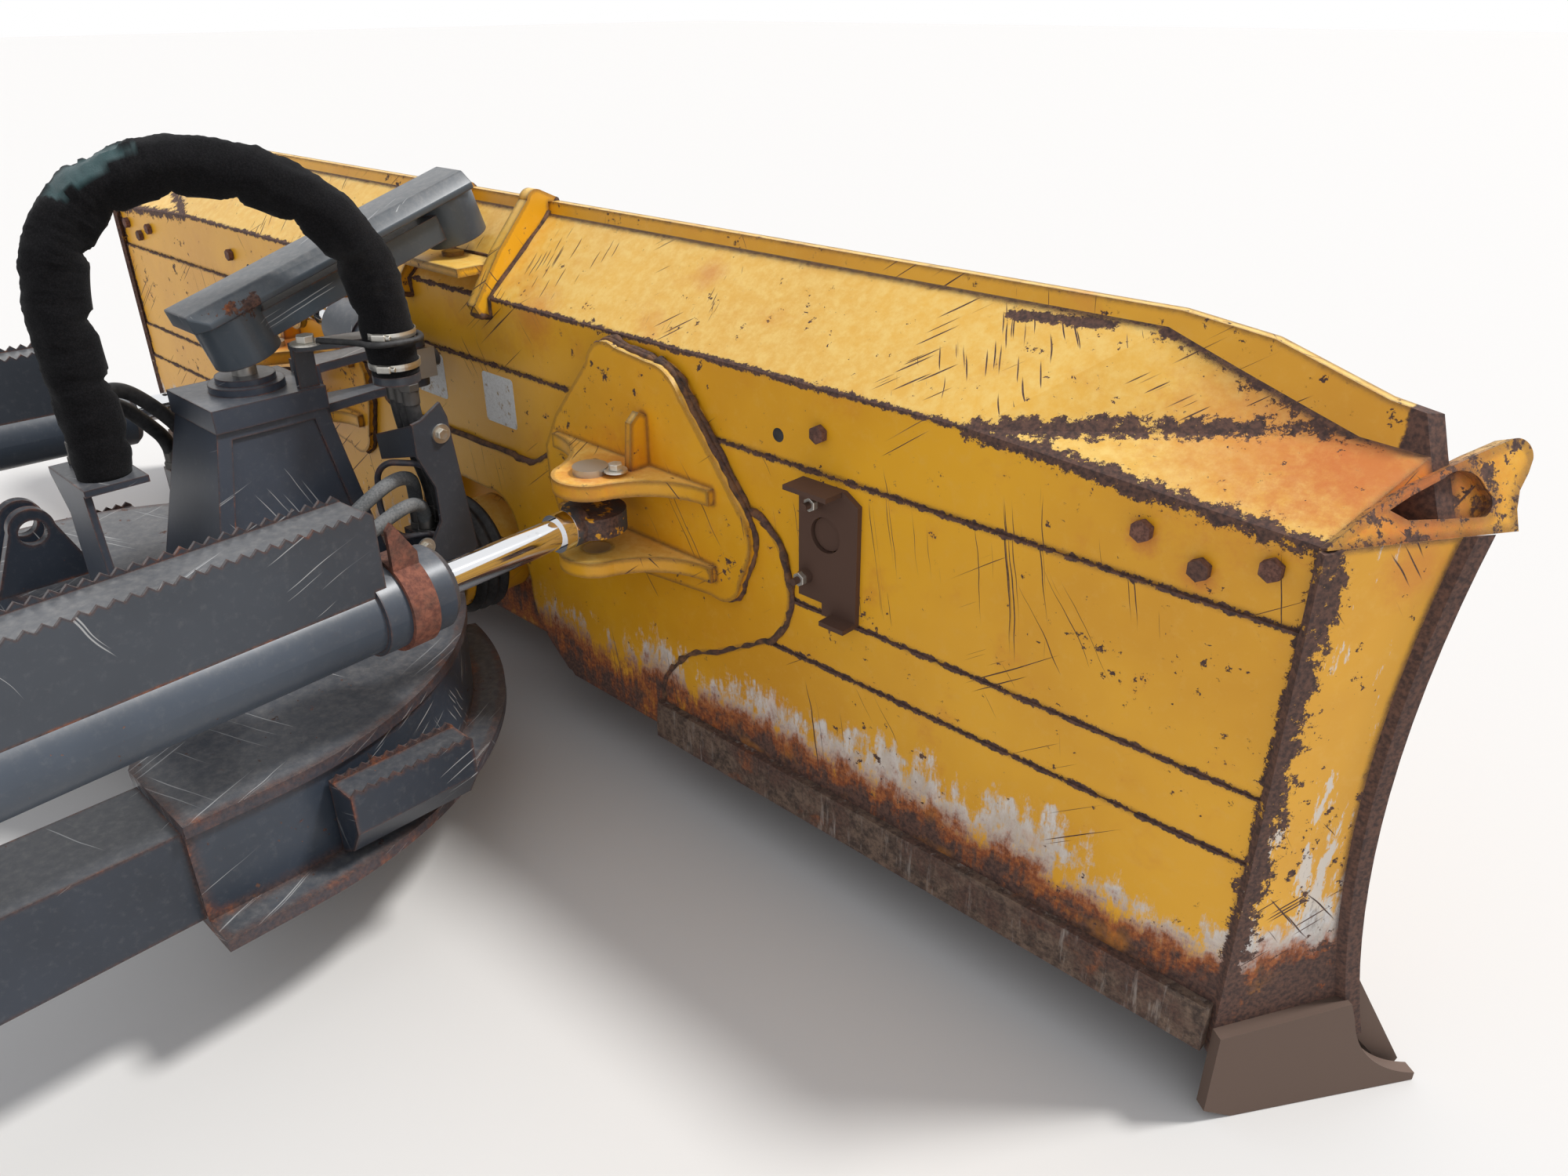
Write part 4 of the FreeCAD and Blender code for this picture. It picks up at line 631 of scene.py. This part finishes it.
SEAMS = ((782, -3), (544, -7), (444, -10))
FOLD, KNOB, RIM = spot(1290, 0, 916), spot(1735, 160, 978), spot(1480, 170, 1063)
CREASES = [(spot(-1290, 0, 916), FOLD, 0.0062)]
CREASES += [(spot(-1768, y, height), spot(1768, y, height), 0.0046) for height, y in SEAMS]
for start, end, width in ((FOLD, spot(1766, 0, 890), 0.016), (FOLD, KNOB, 0.017), (RIM, KNOB, 0.027),
                          (spot(1040, 180, 1070), spot(1480, 168, 1062), 0.012),
                          (spot(1249, 143, 1040), spot(1399, 152, 1048), 0.010),
                          (KNOB, spot(1800, 175, 976), 0.020),
                          (spot(1768, -6, 890), spot(1768, -6, 140), 0.012)):
    CREASES += both_sides(start, end, width)
STAINS = [(spot(1760, 110, 950), 0.17, 0.85), (spot(1640, 90, 960), 0.20, 0.55),
          (spot(664, 115, 1016), 0.05, 0.5), (spot(-1760, 110, 950), 0.17, 0.8),
          (spot(300, 0, 900), 0.10, 0.5), (spot(-420, 0, 905), 0.12, 0.6),
          (spot(1633, 0, 812), 0.035, 0.7), (spot(1554, 0, 838), 0.035, 0.7)]
EAR_STAINS = [(spot(side * 600, -110, 705), 0.11, 0.9) for side in (1, -1)]
STRAP_STAINS = [(spot(side * 1830, 90, 960), 0.16, 0.9) for side in (1, -1)]
END_LINES = []
for start, end, width in ((spot(1772, -12, 890), spot(1772, -12, 140), 0.026),
                          (spot(1786, 20, 150), spot(1850, 112, 240), 0.050),
                          (spot(1800, 30, 420), spot(1835, 90, 560), 0.006),
                          (spot(1795, 30, 640), spot(1830, 80, 480), 0.005)):
    END_LINES += both_sides(start, end, width)
yellow_paint("box_paint", CREASES, STAINS, bottom=True, chip=0.115, scratch=0.42, edge=0.62, radius=0.014)
yellow_paint("plate_paint", stains=[(spot(600, -110, 705), 0.10, 0.85), (spot(640, -50, 880), 0.09, 0.7)],
             bottom=True, chip=0.11, edge=0.62, radius=0.012)
yellow_paint("ear_paint", stains=EAR_STAINS, chip=0.13, edge=0.66, radius=0.014)
yellow_paint("skin_paint", chip=0.13, scratch=0.45, edge=0.66, radius=0.014, bottom=True, sides=1.787)
yellow_paint("strap_paint", stains=STRAP_STAINS, chip=0.225, scratch=0.45, edge=0.84, radius=0.022)
yellow_paint("end_paint", END_LINES, [(spot(1800, 30, 240), 0.13, 0.9), (spot(1830, 90, 860), 0.07, 0.5)],
             bottom=True, chip=0.16, scratch=0.50, edge=0.55, radius=0.013, pale=0.06, chalk=True)
print("creases:", len(CREASES))


# %% [markdown]
# ## Dark paint
# The frame, the tower and the cylinders are blue-grey. Their paint is scratched pale, dusty on top, and its
# rims are rubbed down to brown steel.

# %% Dark paint
GREY, GREY_DUST, CUT = (0.16, 0.16, 0.16, 1), (0.30, 0.28, 0.255, 1), (0.46, 0.46, 0.45, 1)


@group("Position Dark Light Scratch Dusty", "Color Fine Ragged")
def blue_coat(net, where, dark, light, scratch, dusty):
    """The blue-grey coat, from a dark to a light shade, with grey specks and pale scratches."""
    fine = noise(net, where, 70.0, 4.0, 0.7)
    colour = mix(net, ramp(net, noise(net, where, 2.3, 4.0, 0.6), 0.3, 0.7), dark, light)
    colour = mix(net, ramp(net, fine, 0.5, 0.85, 0.0, 0.25), colour, GREY)
    colour = dust_and_highlight(net, colour, GREY_DUST, fine, 0.3, 0.25, 0.8, times(net, dusty, 0.3), dusty)
    pale = most(net, [scratches(net, where, turn_by, shift, scratch)
                      for turn_by, shift in ((0.35, 1.0), (-1.1, 5.0))])
    colour = mix(net, times(net, pale, 0.7), colour, CUT)
    return colour, fine, noise(net, where, 34.0, 5.0, 0.72)


def dark_paint(name, shade, chip=0.05, dusty=0.35, edge=0.34, radius=0.006, scratch=0.34, lines=()):
    """Blue-grey paint in a shade, with pale scratches, dust and rusty rims."""
    net, shader, where = start_finish(name)
    low, high = [tuple(factor * part for part in shade) + (1,) for factor in (0.78, 1.25)]
    colour, fine, ragged = blue_coat(net, where, low, high, scratch, dusty)
    bare = [chips(net, where, 40.0, chip), edge_wear(net, radius, ragged, edge)]
    mask = most(net, bare + worn_lines(net, where, ragged, lines))
    dress(net, shader, mix(net, mask, colour, rust(net, where, 0.42)),
          ramp(net, mask, 0.0, 1.0, 0.36, 0.8), less(net, times(net, fine, 0.2), mask), 0.4, 0.001)


dark_paint("nose_paint", (0.030, 0.038, 0.052), chip=0.10, edge=0.64, radius=0.030, scratch=0.80)
dark_paint("frame_paint", (0.022, 0.028, 0.040), chip=0.07, edge=0.50, radius=0.010, scratch=0.46, dusty=0.25)
dark_paint("tower_paint", (0.034, 0.043, 0.060), chip=0.03, edge=0.20)
dark_paint("barrel_paint", (0.042, 0.053, 0.070), chip=0.04, edge=0.24, dusty=0.30, scratch=0.30)
dark_paint("guard_paint", (0.036, 0.042, 0.052), chip=0.04, edge=0.22, scratch=0.30)
dark_paint("link_paint", (0.058, 0.072, 0.086), chip=0.05, edge=0.26, dusty=0.4, scratch=0.30,
           lines=[(spot(-40, -524, 1010), spot(40, -524, 1010), 0.022),
                  (spot(70, -500, 1000), spot(70, -420, 960), 0.020)])
print("dark paints: 6")

# %% [markdown]
# ## Bare metal, rubber and cloth
# The base bar and the wear plates are raw steel with dust in their pits, the pins are greasy, and the rods
# are chromed. The hoses have a grey cloth cover, and the sleeve is black cloth whose tear shows a hose.

# %% Bare metal
PALE, MUD, GREASE = (0.34, 0.29, 0.25, 1), (0.42, 0.35, 0.28, 1), (0.06, 0.045, 0.035, 1)
CHROME = (0.80, 0.81, 0.83, 1)


@group("Position Scale Dark Light", "Color Grain")
def rough_steel(net, where, scale, dark, light):
    """Rough steel in two shades, with rust in patches."""
    grain = noise(net, where, scale, 6.0, 0.75)
    patches = ramp(net, noise(net, where, 9.0, 5.0, 0.7), 0.46, 0.60, 0.0, 0.8)
    colour = mix(net, ramp(net, grain, 0.36, 0.64), dark, light)
    return mix(net, patches, colour, rust(net, where, 0.36)), grain


@group("Color Position Share", "Color")
def pale_streaks(net, colour, where, share):
    """Pale upright rubs."""
    streak = stretched(net, where, (60.0, 60.0, 7.0), 4.0, 0.7)
    return mix(net, ramp(net, streak, 0.55, 0.75, 0.0, share), colour, PALE)


@group("Color Position Share", "Color Mask Broad")
def greased(net, colour, where, share):
    """Grease and dust on bare metal."""
    broad = noise(net, where, 13.0, 5.0, 0.65)
    mask = ramp(net, broad, 0.52, 0.70, 0.0, share)
    return mix(net, mask, colour, GREASE), mask, broad


def rusty(name, dark, light, scale=60.0, mud=0.0, streaks=0.0):
    """Rough brown steel, with mud towards the ground and pale rubbed streaks."""
    net, shader, where = start_finish(name)
    colour, grain = rough_steel(net, where, scale, dark, light)
    if streaks:
        colour = pale_streaks(net, colour, where, streaks)
    if mud:
        level = plus(net, ramp(net, above_ground(net, where), 0.12, 0.0), times(net, grain, 0.8))
        colour = mix(net, ramp(net, level, 0.75, 1.15, 0.0, mud), colour, MUD)
    dress(net, shader, colour, 0.85, grain, 0.6, 0.002)


def bright(name, colour, rough, dirt):
    """Bare metal with grease and dust on it."""
    net, shader, where = start_finish(name)
    shown, mask, broad = greased(net, colour, where, dirt)
    net.links.new(shown, shader.inputs["Base Color"])
    net.links.new(ramp(net, mask, 0.0, 1.0, 1.0, 0.2), shader.inputs["Metallic"])
    net.links.new(ramp(net, broad, 0.3, 0.8, rough, rough + 0.25), shader.inputs["Roughness"])


def rod_finish(name, eye_from):
    """Chromed rod with two small dark pits; from a depth on, its eye in flaked dark paint."""
    net, shader, where = start_finish(name)
    rag = noise(net, where, 44.0, 6.0, 0.78)
    broad = noise(net, where, 13.0, 5.0, 0.65)
    pits = [ramp(net, apart(net, where, pit), 0.0075, 0.0045)
            for pit in (spot(608, -378, 648), spot(606, -352, 642), spot(-608, -378, 648))]
    grime = ramp(net, broad, 0.60, 0.72, 0.0, 0.35)
    shiny = mix(net, grime, CHROME, (0.10, 0.08, 0.06, 1))
    shiny = mix(net, most(net, pits), shiny, (0.012, 0.010, 0.010, 1))
    eye = mix(net, ramp(net, broad, 0.45, 0.60), (0.045, 0.048, 0.052, 1), rust(net, where, 0.15))
    eye = mix(net, chips(net, where, 40.0, 0.22), eye, (0.62, 0.28, 0.010, 1))
    depth = plus(net, axes(net, where)[1], times(net, rag, 0.006))
    part = ramp(net, depth, eye_from, eye_from + 0.002)
    net.links.new(less(net, 1.0, part), shader.inputs["Metallic"])
    dress(net, shader, mix(net, part, shiny, eye),
          ramp(net, most(net, [part, grime]), 0.0, 1.0, 0.07, 0.7), times(net, rag, part), 0.4, 0.001)


rod_finish("rod_chrome", 2.385)
rusty("worn_steel", (0.040, 0.022, 0.018, 1), (0.17, 0.095, 0.066, 1), mud=0.55, streaks=0.6)
rusty("bar_steel", (0.045, 0.028, 0.021, 1), (0.17, 0.110, 0.075, 1), streaks=0.75)
for name, dark, light, scale in (("band_steel", (0.11, 0.036, 0.024, 1), (0.24, 0.085, 0.050, 1), 70.0),
                                 ("bolt_steel", (0.075, 0.030, 0.022, 1), (0.20, 0.090, 0.060, 1), 120.0),
                                 ("rusty_steel", (0.035, 0.020, 0.018, 1), (0.10, 0.048, 0.036, 1), 90.0),
                                 ("bead_steel", (0.030, 0.018, 0.015, 1), (0.17, 0.080, 0.035, 1), 50.0)):
    rusty(name, dark, light, scale)
for name, shade, rough, dirt in (("chrome", CHROME, 0.07, 0.15),
                                 ("zinc", (0.62, 0.60, 0.55, 1), 0.33, 0.5),
                                 ("pin_steel", (0.36, 0.33, 0.29, 1), 0.42, 0.6),
                                 # Painted shade: the ferrules are zinc, given a dark grey for the shade they
                                 # sit in among the hoses.
                                 ("ferrule", (0.13, 0.125, 0.12, 1), 0.45, 0.5)):
    bright(name, shade, rough, dirt)
print("materials so far:", len(bpy.data.materials))


# %% Rubber and cloth
@group("Position Scale Dark Light", "Color Grain")
def mottle(net, where, scale, dark, light):
    """A dull cover between two shades."""
    fine = noise(net, where, scale, 4.0, 0.7)
    both = plus(net, times(net, fine, 0.5), times(net, noise(net, where, 11.0, 4.0, 0.6), 0.5))
    return mix(net, ramp(net, both, 0.38, 0.66), dark, light), fine


def rubber(name, dark, light, scale=90.0, rough=0.62):
    """Dusty rubber, or a hose's woven cover with a finer grain."""
    net, shader, where = start_finish(name)
    colour, grain = mottle(net, where, scale, dark, light)
    dress(net, shader, colour, rough, grain, 0.35, 0.0006)


rubber("black_rubber", (0.010, 0.010, 0.011, 1), (0.045, 0.043, 0.042, 1))
rubber("grey_hose", (0.075, 0.080, 0.082, 1), (0.20, 0.20, 0.195, 1), 260.0, 0.8)


def cloth_finish():
    """Black woven cloth with fluff; where the attribute says torn, the hose inside shows."""
    net, shader, where = start_finish("sleeve_cloth")
    torn = put(net, "ShaderNodeAttribute", attribute_name="torn").outputs["Fac"]
    fluff = noise(net, where, 320.0, 4.0, 0.8)
    broad = noise(net, where, 9.0, 4.0, 0.6)
    cloth = mix(net, ramp(net, fluff, 0.35, 0.8), (0.0025, 0.0025, 0.003, 1), (0.014, 0.013, 0.014, 1))
    cloth = mix(net, ramp(net, broad, 0.55, 0.75, 0.0, 0.4), cloth, (0.024, 0.022, 0.020, 1))
    hose = mix(net, ramp(net, broad, 0.4, 0.6), (0.012, 0.050, 0.052, 1), (0.055, 0.090, 0.092, 1))
    shader.inputs["Sheen Weight"].default_value = 0.05
    shader.inputs["Specular IOR Level"].default_value = 0.15
    dress(net, shader, mix(net, torn, cloth, hose), ramp(net, torn, 0.0, 1.0, 0.95, 0.45),
          fluff, 0.7, 0.0016)


cloth_finish()
finish = bpy.data.materials
sleeve.data.materials.append(finish["sleeve_cloth"])
cable.data.materials.append(finish["black_rubber"])
for name, hose in hoses.items():
    hose.data.materials.append(finish["grey_hose" if name.startswith("right") else "black_rubber"])
print("materials so far:", len(finish))

# %% [markdown]
# ## Finishes of the CAD pieces
# The CAD shapes stay as they are. Only their material changes: a table gives the finish of the pieces it
# names, and the rest wear frame paint.

# %% Finishes of the CAD pieces
FINISHES = {
    "box_paint": "blade_box",
    "plate_paint": "centre_plate",
    "ear_paint": "clevis_right clevis_left link_bracket socket_housing tilt_ears",
    "skin_paint": "blade_skin",
    "strap_paint": "corner_strap_right corner_strap_left",
    "end_paint": "end_plate_right end_plate_left",
    "bar_steel": "base_bars",
    "worn_steel": "cutting_edge side_wear_plate_right side_wear_plate_left",
    "rusty_steel": "bolted_bracket",
    "band_steel": "angle_right_clamp angle_left_clamp",
    "rod_chrome": "angle_right_rod angle_left_rod",
    "chrome": "tilt_rod",
    "pin_steel": "clevis_pins ball_race link_swivel tower_pin tilt_gimbal angle_right_gimbal "
                 "angle_left_gimbal",
    "black_rubber": "ball_stud",
    "nose_paint": "c_frame_nose",
    "tower_paint": "tower tilt_bracket hose_post",
    "barrel_paint": "angle_right_barrel angle_left_barrel tilt_barrel",
    "guard_paint": "angle_right_guard angle_left_guard hose_guard hose_bracket",
    "link_paint": "pitch_link link_guard",
}
finish_of = {node: name for name, wearers in FINISHES.items() for node in wearers.split()}
for name in nodes:
    slots = nodes[name].data.materials
    slots.clear()
    slots.append(finish[finish_of.get(name, "frame_paint")])
print("finished:", len(finish_of), "by name, the rest in frame paint")


# %% [markdown]
# ## Rounded link guard
# The guard over the top link is a pressed cover with soft rims, and CAD left its edges sharp. A new shell
# would have to be fitted to the link, so a merged copy of the CAD piece gets its sharp edges rounded
# instead and takes its place.

# %% Rounded link guard
MERGE = 0.00002
SHARP = math.radians(35)


def rounded(name, node, reach, material, body):
    """A copy of a CAD piece with rounded rims."""
    bm = bmesh.new()
    bm.from_mesh(nodes[node].data)
    bmesh.ops.remove_doubles(bm, verts=bm.verts, dist=MERGE)
    bmesh.ops.dissolve_limit(bm, angle_limit=math.radians(1.5), verts=bm.verts, edges=bm.edges)
    sharp = [edge for edge in bm.edges if len(edge.link_faces) == 2
             and edge.calc_face_angle() > math.radians(20)]
    bmesh.ops.bevel(bm, geom=sharp, offset=reach, offset_type="OFFSET", segments=4, profile=0.5,
                    affect="EDGES", material=-1, clamp_overlap=True)
    bmesh.ops.recalc_face_normals(bm, faces=bm.faces)
    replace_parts(make_piece(bm, name, material, body, smooth=True), node)


rounded("link_cover", "link_guard", 0.011, finish["link_paint"], "pitch_link")

# %% [markdown]
# ## Weld beads
# The heavy plates are welded on along their whole outline, and the bead shows as a dark rope. It could be
# drawn by hand, but the plate's own outline is already there: a copy of the piece gives its edges, which
# become a round cord, and a noise makes the cord ripple as a bead does.

# %% Weld beads
def bead_along(name, node, keep, shift, radius):
    """A rippled bead along those sharp edges of a CAD piece that keep() picks."""
    bm = bmesh.new()
    bm.from_mesh(nodes[node].data)
    bmesh.ops.remove_doubles(bm, verts=bm.verts, dist=MERGE)
    others = [edge for edge in bm.edges if len(edge.link_faces) != 2 or edge.calc_face_angle() < SHARP
              or not keep(edge.verts[0].co) or not keep(edge.verts[1].co)]
    bmesh.ops.delete(bm, geom=others, context="EDGES_FACES")
    bmesh.ops.delete(bm, geom=bm.faces[:], context="FACES_ONLY")
    loose = [vertex for vertex in bm.verts if not vertex.link_edges]
    bmesh.ops.delete(bm, geom=loose, context="VERTS")
    bmesh.ops.translate(bm, vec=shift, verts=bm.verts)
    wire = finish_mesh(bm, name + "_wire")
    bpy.ops.object.select_all(action="DESELECT")
    bpy.context.view_layer.objects.active = wire
    wire.select_set(True)
    bpy.ops.object.convert(target="CURVE")
    wire.data.bevel_depth = radius
    wire.data.bevel_resolution = 2
    wire.data.use_fill_caps = True
    mesh = bpy.data.meshes.new_from_object(wire)
    bpy.data.objects.remove(wire)
    rope = bmesh.new()
    rope.from_mesh(mesh)
    bmesh.ops.remove_doubles(rope, verts=rope.verts, dist=MERGE)
    long = [edge for edge in rope.edges if edge.calc_length() > 0.02]
    bmesh.ops.subdivide_edges(rope, edges=long, cuts=6, use_grid_fill=True)
    bmesh.ops.recalc_face_normals(rope, faces=rope.faces)
    rope.normal_update()
    for vertex in rope.verts:
        vertex.co += vertex.normal * radius * 0.8 * pattern.noise(vertex.co * 75)
    make_piece(rope, name, finish["bead_steel"], smooth=True)


def at_depth(y, lowest=0.13):
    """Picks points in the plane at depth y, above a height."""
    return lambda co: abs(co.y - BACK - y / 1000) < 0.0006 and co.z - GROUND > lowest


def near_slope(co):
    """Picks points where the bracket's gussets meet the blade's sloped top."""
    deep, height = co.y - BACK, co.z - GROUND
    return deep < 0.19 and height > 0.86 and height - 0.916 - 0.866 * deep < 0.004


bead_along("bead_centre", "centre_plate", lambda co: at_depth(0)(co) and (abs(co.x) > 0.34 or co.z > 0.12),
           (0, -0.009, 0), 0.0065)
for side in ("right", "left"):
    bead_along("bead_clevis_" + side, "clevis_" + side, at_depth(-14), (0, -0.003, 0), 0.0055)
bead_along("bead_gussets", "link_bracket", near_slope, (0, 0, 0), 0.006)

# %% [markdown]
# ## Bolts and nuts
# Hexagon heads with a washer sit in two rows on the back, and a few zinc ones hold the clamps. One helper
# puts a bevelled head on a washer at a place, facing a direction, so each row is only a list of places.

# %% Bolts and nuts
def cone(bm, sides, radius, tall, matrix, taper=1.0):
    """A closed round or many-sided post, centred on its matrix."""
    return bmesh.ops.create_cone(bm, cap_ends=True, segments=sides, radius1=radius,
                                 radius2=radius * taper, depth=tall, matrix=matrix)


def towards(where, facing):
    """A place whose height runs in the given direction."""
    return Matrix.Translation(where) @ Vector(facing).to_track_quat("Z", "Y").to_matrix().to_4x4()


def add_bolt(bm, where, facing, wide, tall, washer=0.0):
    """A hexagon head, wide across its corners, on a washer."""
    stand = towards(where, facing)
    base = 0.003 if washer else 0.0
    if washer:
        cone(bm, 28, washer, base, stand @ Matrix.Translation((0, 0, base / 2)), 0.96)
    made = cone(bm, 6, wide / 2, tall, stand @ Matrix.Translation((0, 0, base + tall / 2)))
    soften(bm, made, 0.0012)


def bolt_piece(name, rows, material="zinc", body="blade"):
    """One piece with a bolt per row: place, direction, width, height, washer."""
    bm = bmesh.new()
    for row in rows:
        add_bolt(bm, *row)
    make_piece(bm, name, finish[material], body)


REAR, UP = (0, -1, 0), (0, 0, 1)
BACK_ROW = ((1716, 849), (1633, 822), (1554, 849), (1021, 846))
bolt_piece("back_bolts", [(spot(side * x, 0, height), REAR, 0.030, 0.013, 0.0)
                          for side in (1, -1) for x, height in BACK_ROW], "bolt_steel")
bolt_piece("bracket_nuts", [(spot(x, -27, height), REAR, 0.024, 0.010, 0.0)
                            for x, height in ((1030, 742), (1008, 606))])
bolt_piece("keeper_bolts", [(spot(side * 642, -100, 714), UP, 0.026, 0.011, 0.021) for side in (1, -1)])
clamp_bolts = [(spot(100, -351, 887), UP, 0.034, 0.013, 0.029)]
clamp_bolts += [(spot(248, y, height), (1, 0, 0), 0.022, 0.007, 0.019)
                for y, height in ((-196, 712), (-262, 500))]
bolt_piece("clamp_bolts", clamp_bolts, body="c_frame")

# %% [markdown]
# ## Open holes, recess, knob and labels
# Two pairs of bolt holes are open, the rusty bracket has a shallow round recess, and the corner ends in a
# rough weld knob. Two labels on the back are left blank, as weathered white sheets.

# %% Small forms
def disc_piece(name, places, radius, thick, material):
    """Thin round discs that face the rear."""
    bm = bmesh.new()
    for where in places:
        cone(bm, 32, radius, thick, towards(where, REAR), 0.94)
    make_piece(bm, name, finish[material])


disc_piece("open_holes", [spot(side * 932, 0, 822) for side in (1, -1)], 0.012, 0.0012, "black_rubber")
disc_piece("bracket_recess", [spot(1046, -7, 688)], 0.0298, 0.003, "rusty_steel")

knob = bmesh.new()
for side in (1, -1):
    bmesh.ops.create_icosphere(knob, subdivisions=3, radius=0.013,
                               matrix=Matrix.Translation(spot(side * 1737, 157, 984)))
for vertex in knob.verts:
    vertex.co += Vector((0, 0, 1)) * 0.003 * pattern.noise(vertex.co * 120)
make_piece(knob, "weld_knobs", finish["bead_steel"], smooth=True)


def label_finish():
    """Weathered white sheet with grey rubbed places."""
    net, shader, where = start_finish("blank_label")
    broad = noise(net, where, 42.0, 5.0, 0.7)
    fine = noise(net, where, 240.0, 4.0, 0.7)
    colour = mix(net, ramp(net, fine, 0.35, 0.8), (0.78, 0.77, 0.74, 1), (0.60, 0.58, 0.54, 1))
    colour = mix(net, ramp(net, broad, 0.58, 0.66), colour, (0.42, 0.30, 0.16, 1))
    dress(net, shader, colour, 0.5, broad, 0.3, 0.0004)


label_finish()
labels = bmesh.new()
for left, across, low, high in ((-151, -37, 670, 767), (108, 213, 660, 764)):
    middle = spot((left + across) / 2, -5.4, (low + high) / 2)
    size = Matrix.Diagonal(((across - left) / 1000, 0.0008, (high - low) / 1000, 1))
    bmesh.ops.create_cube(labels, size=1.0, matrix=Matrix.Translation(middle) @ size)
corners = [edge for edge in labels.edges if abs((edge.verts[0].co - edge.verts[1].co).y) > 0.0004]
soften(labels, corners, 0.008, 4)
make_piece(labels, "blank_labels", finish["blank_label"])

# %% [markdown]
# ## Clamps, fittings and boot
# Two thin steel bands hold the sleeve above and below its clamp plate, each with a screw housing. Every
# hose ends in a pressed ferrule with a hexagon nut, its zinc painted dark grey as painted shade. A ribbed
# rubber boot wraps the socket in the arch. All of these are turned forms, so each is spun or starts from a
# cone.

# %% Bands round the sleeve
def spin(bm, places, centre, axis, steps):
    """Turns a line through places into a round form."""
    points = [bm.verts.new(place) for place in places]
    line = [bm.edges.new(pair) for pair in zip(points, points[1:])]
    bmesh.ops.spin(bm, geom=points + line, cent=centre, axis=axis, angle=math.radians(360), steps=steps,
                   use_merge=True, dvec=(0, 0, 0))


def close_up(bm):
    bmesh.ops.remove_doubles(bm, verts=bm.verts, dist=0.00001)
    bmesh.ops.recalc_face_normals(bm, faces=bm.faces)


bands = bmesh.new()
for height in (846, 903):
    ring = [spot(192 + radius, -236, height + rise) for radius, rise in ((46.0, -6), (46.6, 0), (46.0, 6))]
    spin(bands, ring, spot(192, -236, height), UP, 48)
    box = Matrix.Translation(spot(192 + 30, -236 - 38, height)) @ Matrix.Rotation(math.radians(-52), 4, "Z")
    made = bmesh.ops.create_cube(bands, size=1.0, matrix=box @ Matrix.Diagonal((0.012, 0.026, 0.014, 1)))
    soften(bands, made, 0.003, 3)
    add_bolt(bands, box @ Vector((0, 0.013, 0)), box.to_3x3() @ Vector((0, 1, 0)), 0.010, 0.008)
close_up(bands)
band_piece = make_piece(bands, "sleeve_bands", finish["zinc"], "c_frame")
band_piece.modifiers.new("thick", "SOLIDIFY").thickness = 0.0012

# %% Hose fittings
fittings = bmesh.new()
for name, route in HOSES.items():
    for end, before in ((route[0], route[1]), (route[-1], route[-2])):
        up = 1 if before[2] > end[2] else -1
        for low, tall, wide, sides in ((0, 14, 0.0195, 6), (14, 26, 0.0158, 24)):
            where = spot(end[0], end[1], end[2] + up * (low + tall / 2))
            soften(fittings, cone(fittings, sides, wide, tall / 1000, Matrix.Translation(where)), 0.001)
# Painted shade: dark grey stands in for shade on the zinc ferrules.
make_piece(fittings, "hose_fittings", finish["ferrule"], "c_frame")

# %% Boot round the socket
boot = bmesh.new()
RIBS = ((-8, 111), (-8, 122), (-14, 130), (-22, 132), (-28, 122), (-34, 121), (-40, 130), (-48, 131),
        (-54, 121), (-60, 120), (-66, 128), (-74, 129), (-80, 119), (-86, 112))
spin(boot, [spot(radius, y, 330) for y, radius in RIBS], spot(0, 0, 330), (0, 1, 0), 72)
close_up(boot)
make_piece(boot, "socket_boot", finish["black_rubber"], smooth=True)

# %% [markdown]
# ## Floor colour and end
# The floor is plain and pale.

# %% Floor colour and end
floor_shader = start_finish("pale_floor")[1]
floor_shader.inputs["Base Color"].default_value = (0.66, 0.64, 0.61, 1)
floor_shader.inputs["Roughness"].default_value = 0.9
floor.data.materials.append(finish["pale_floor"])
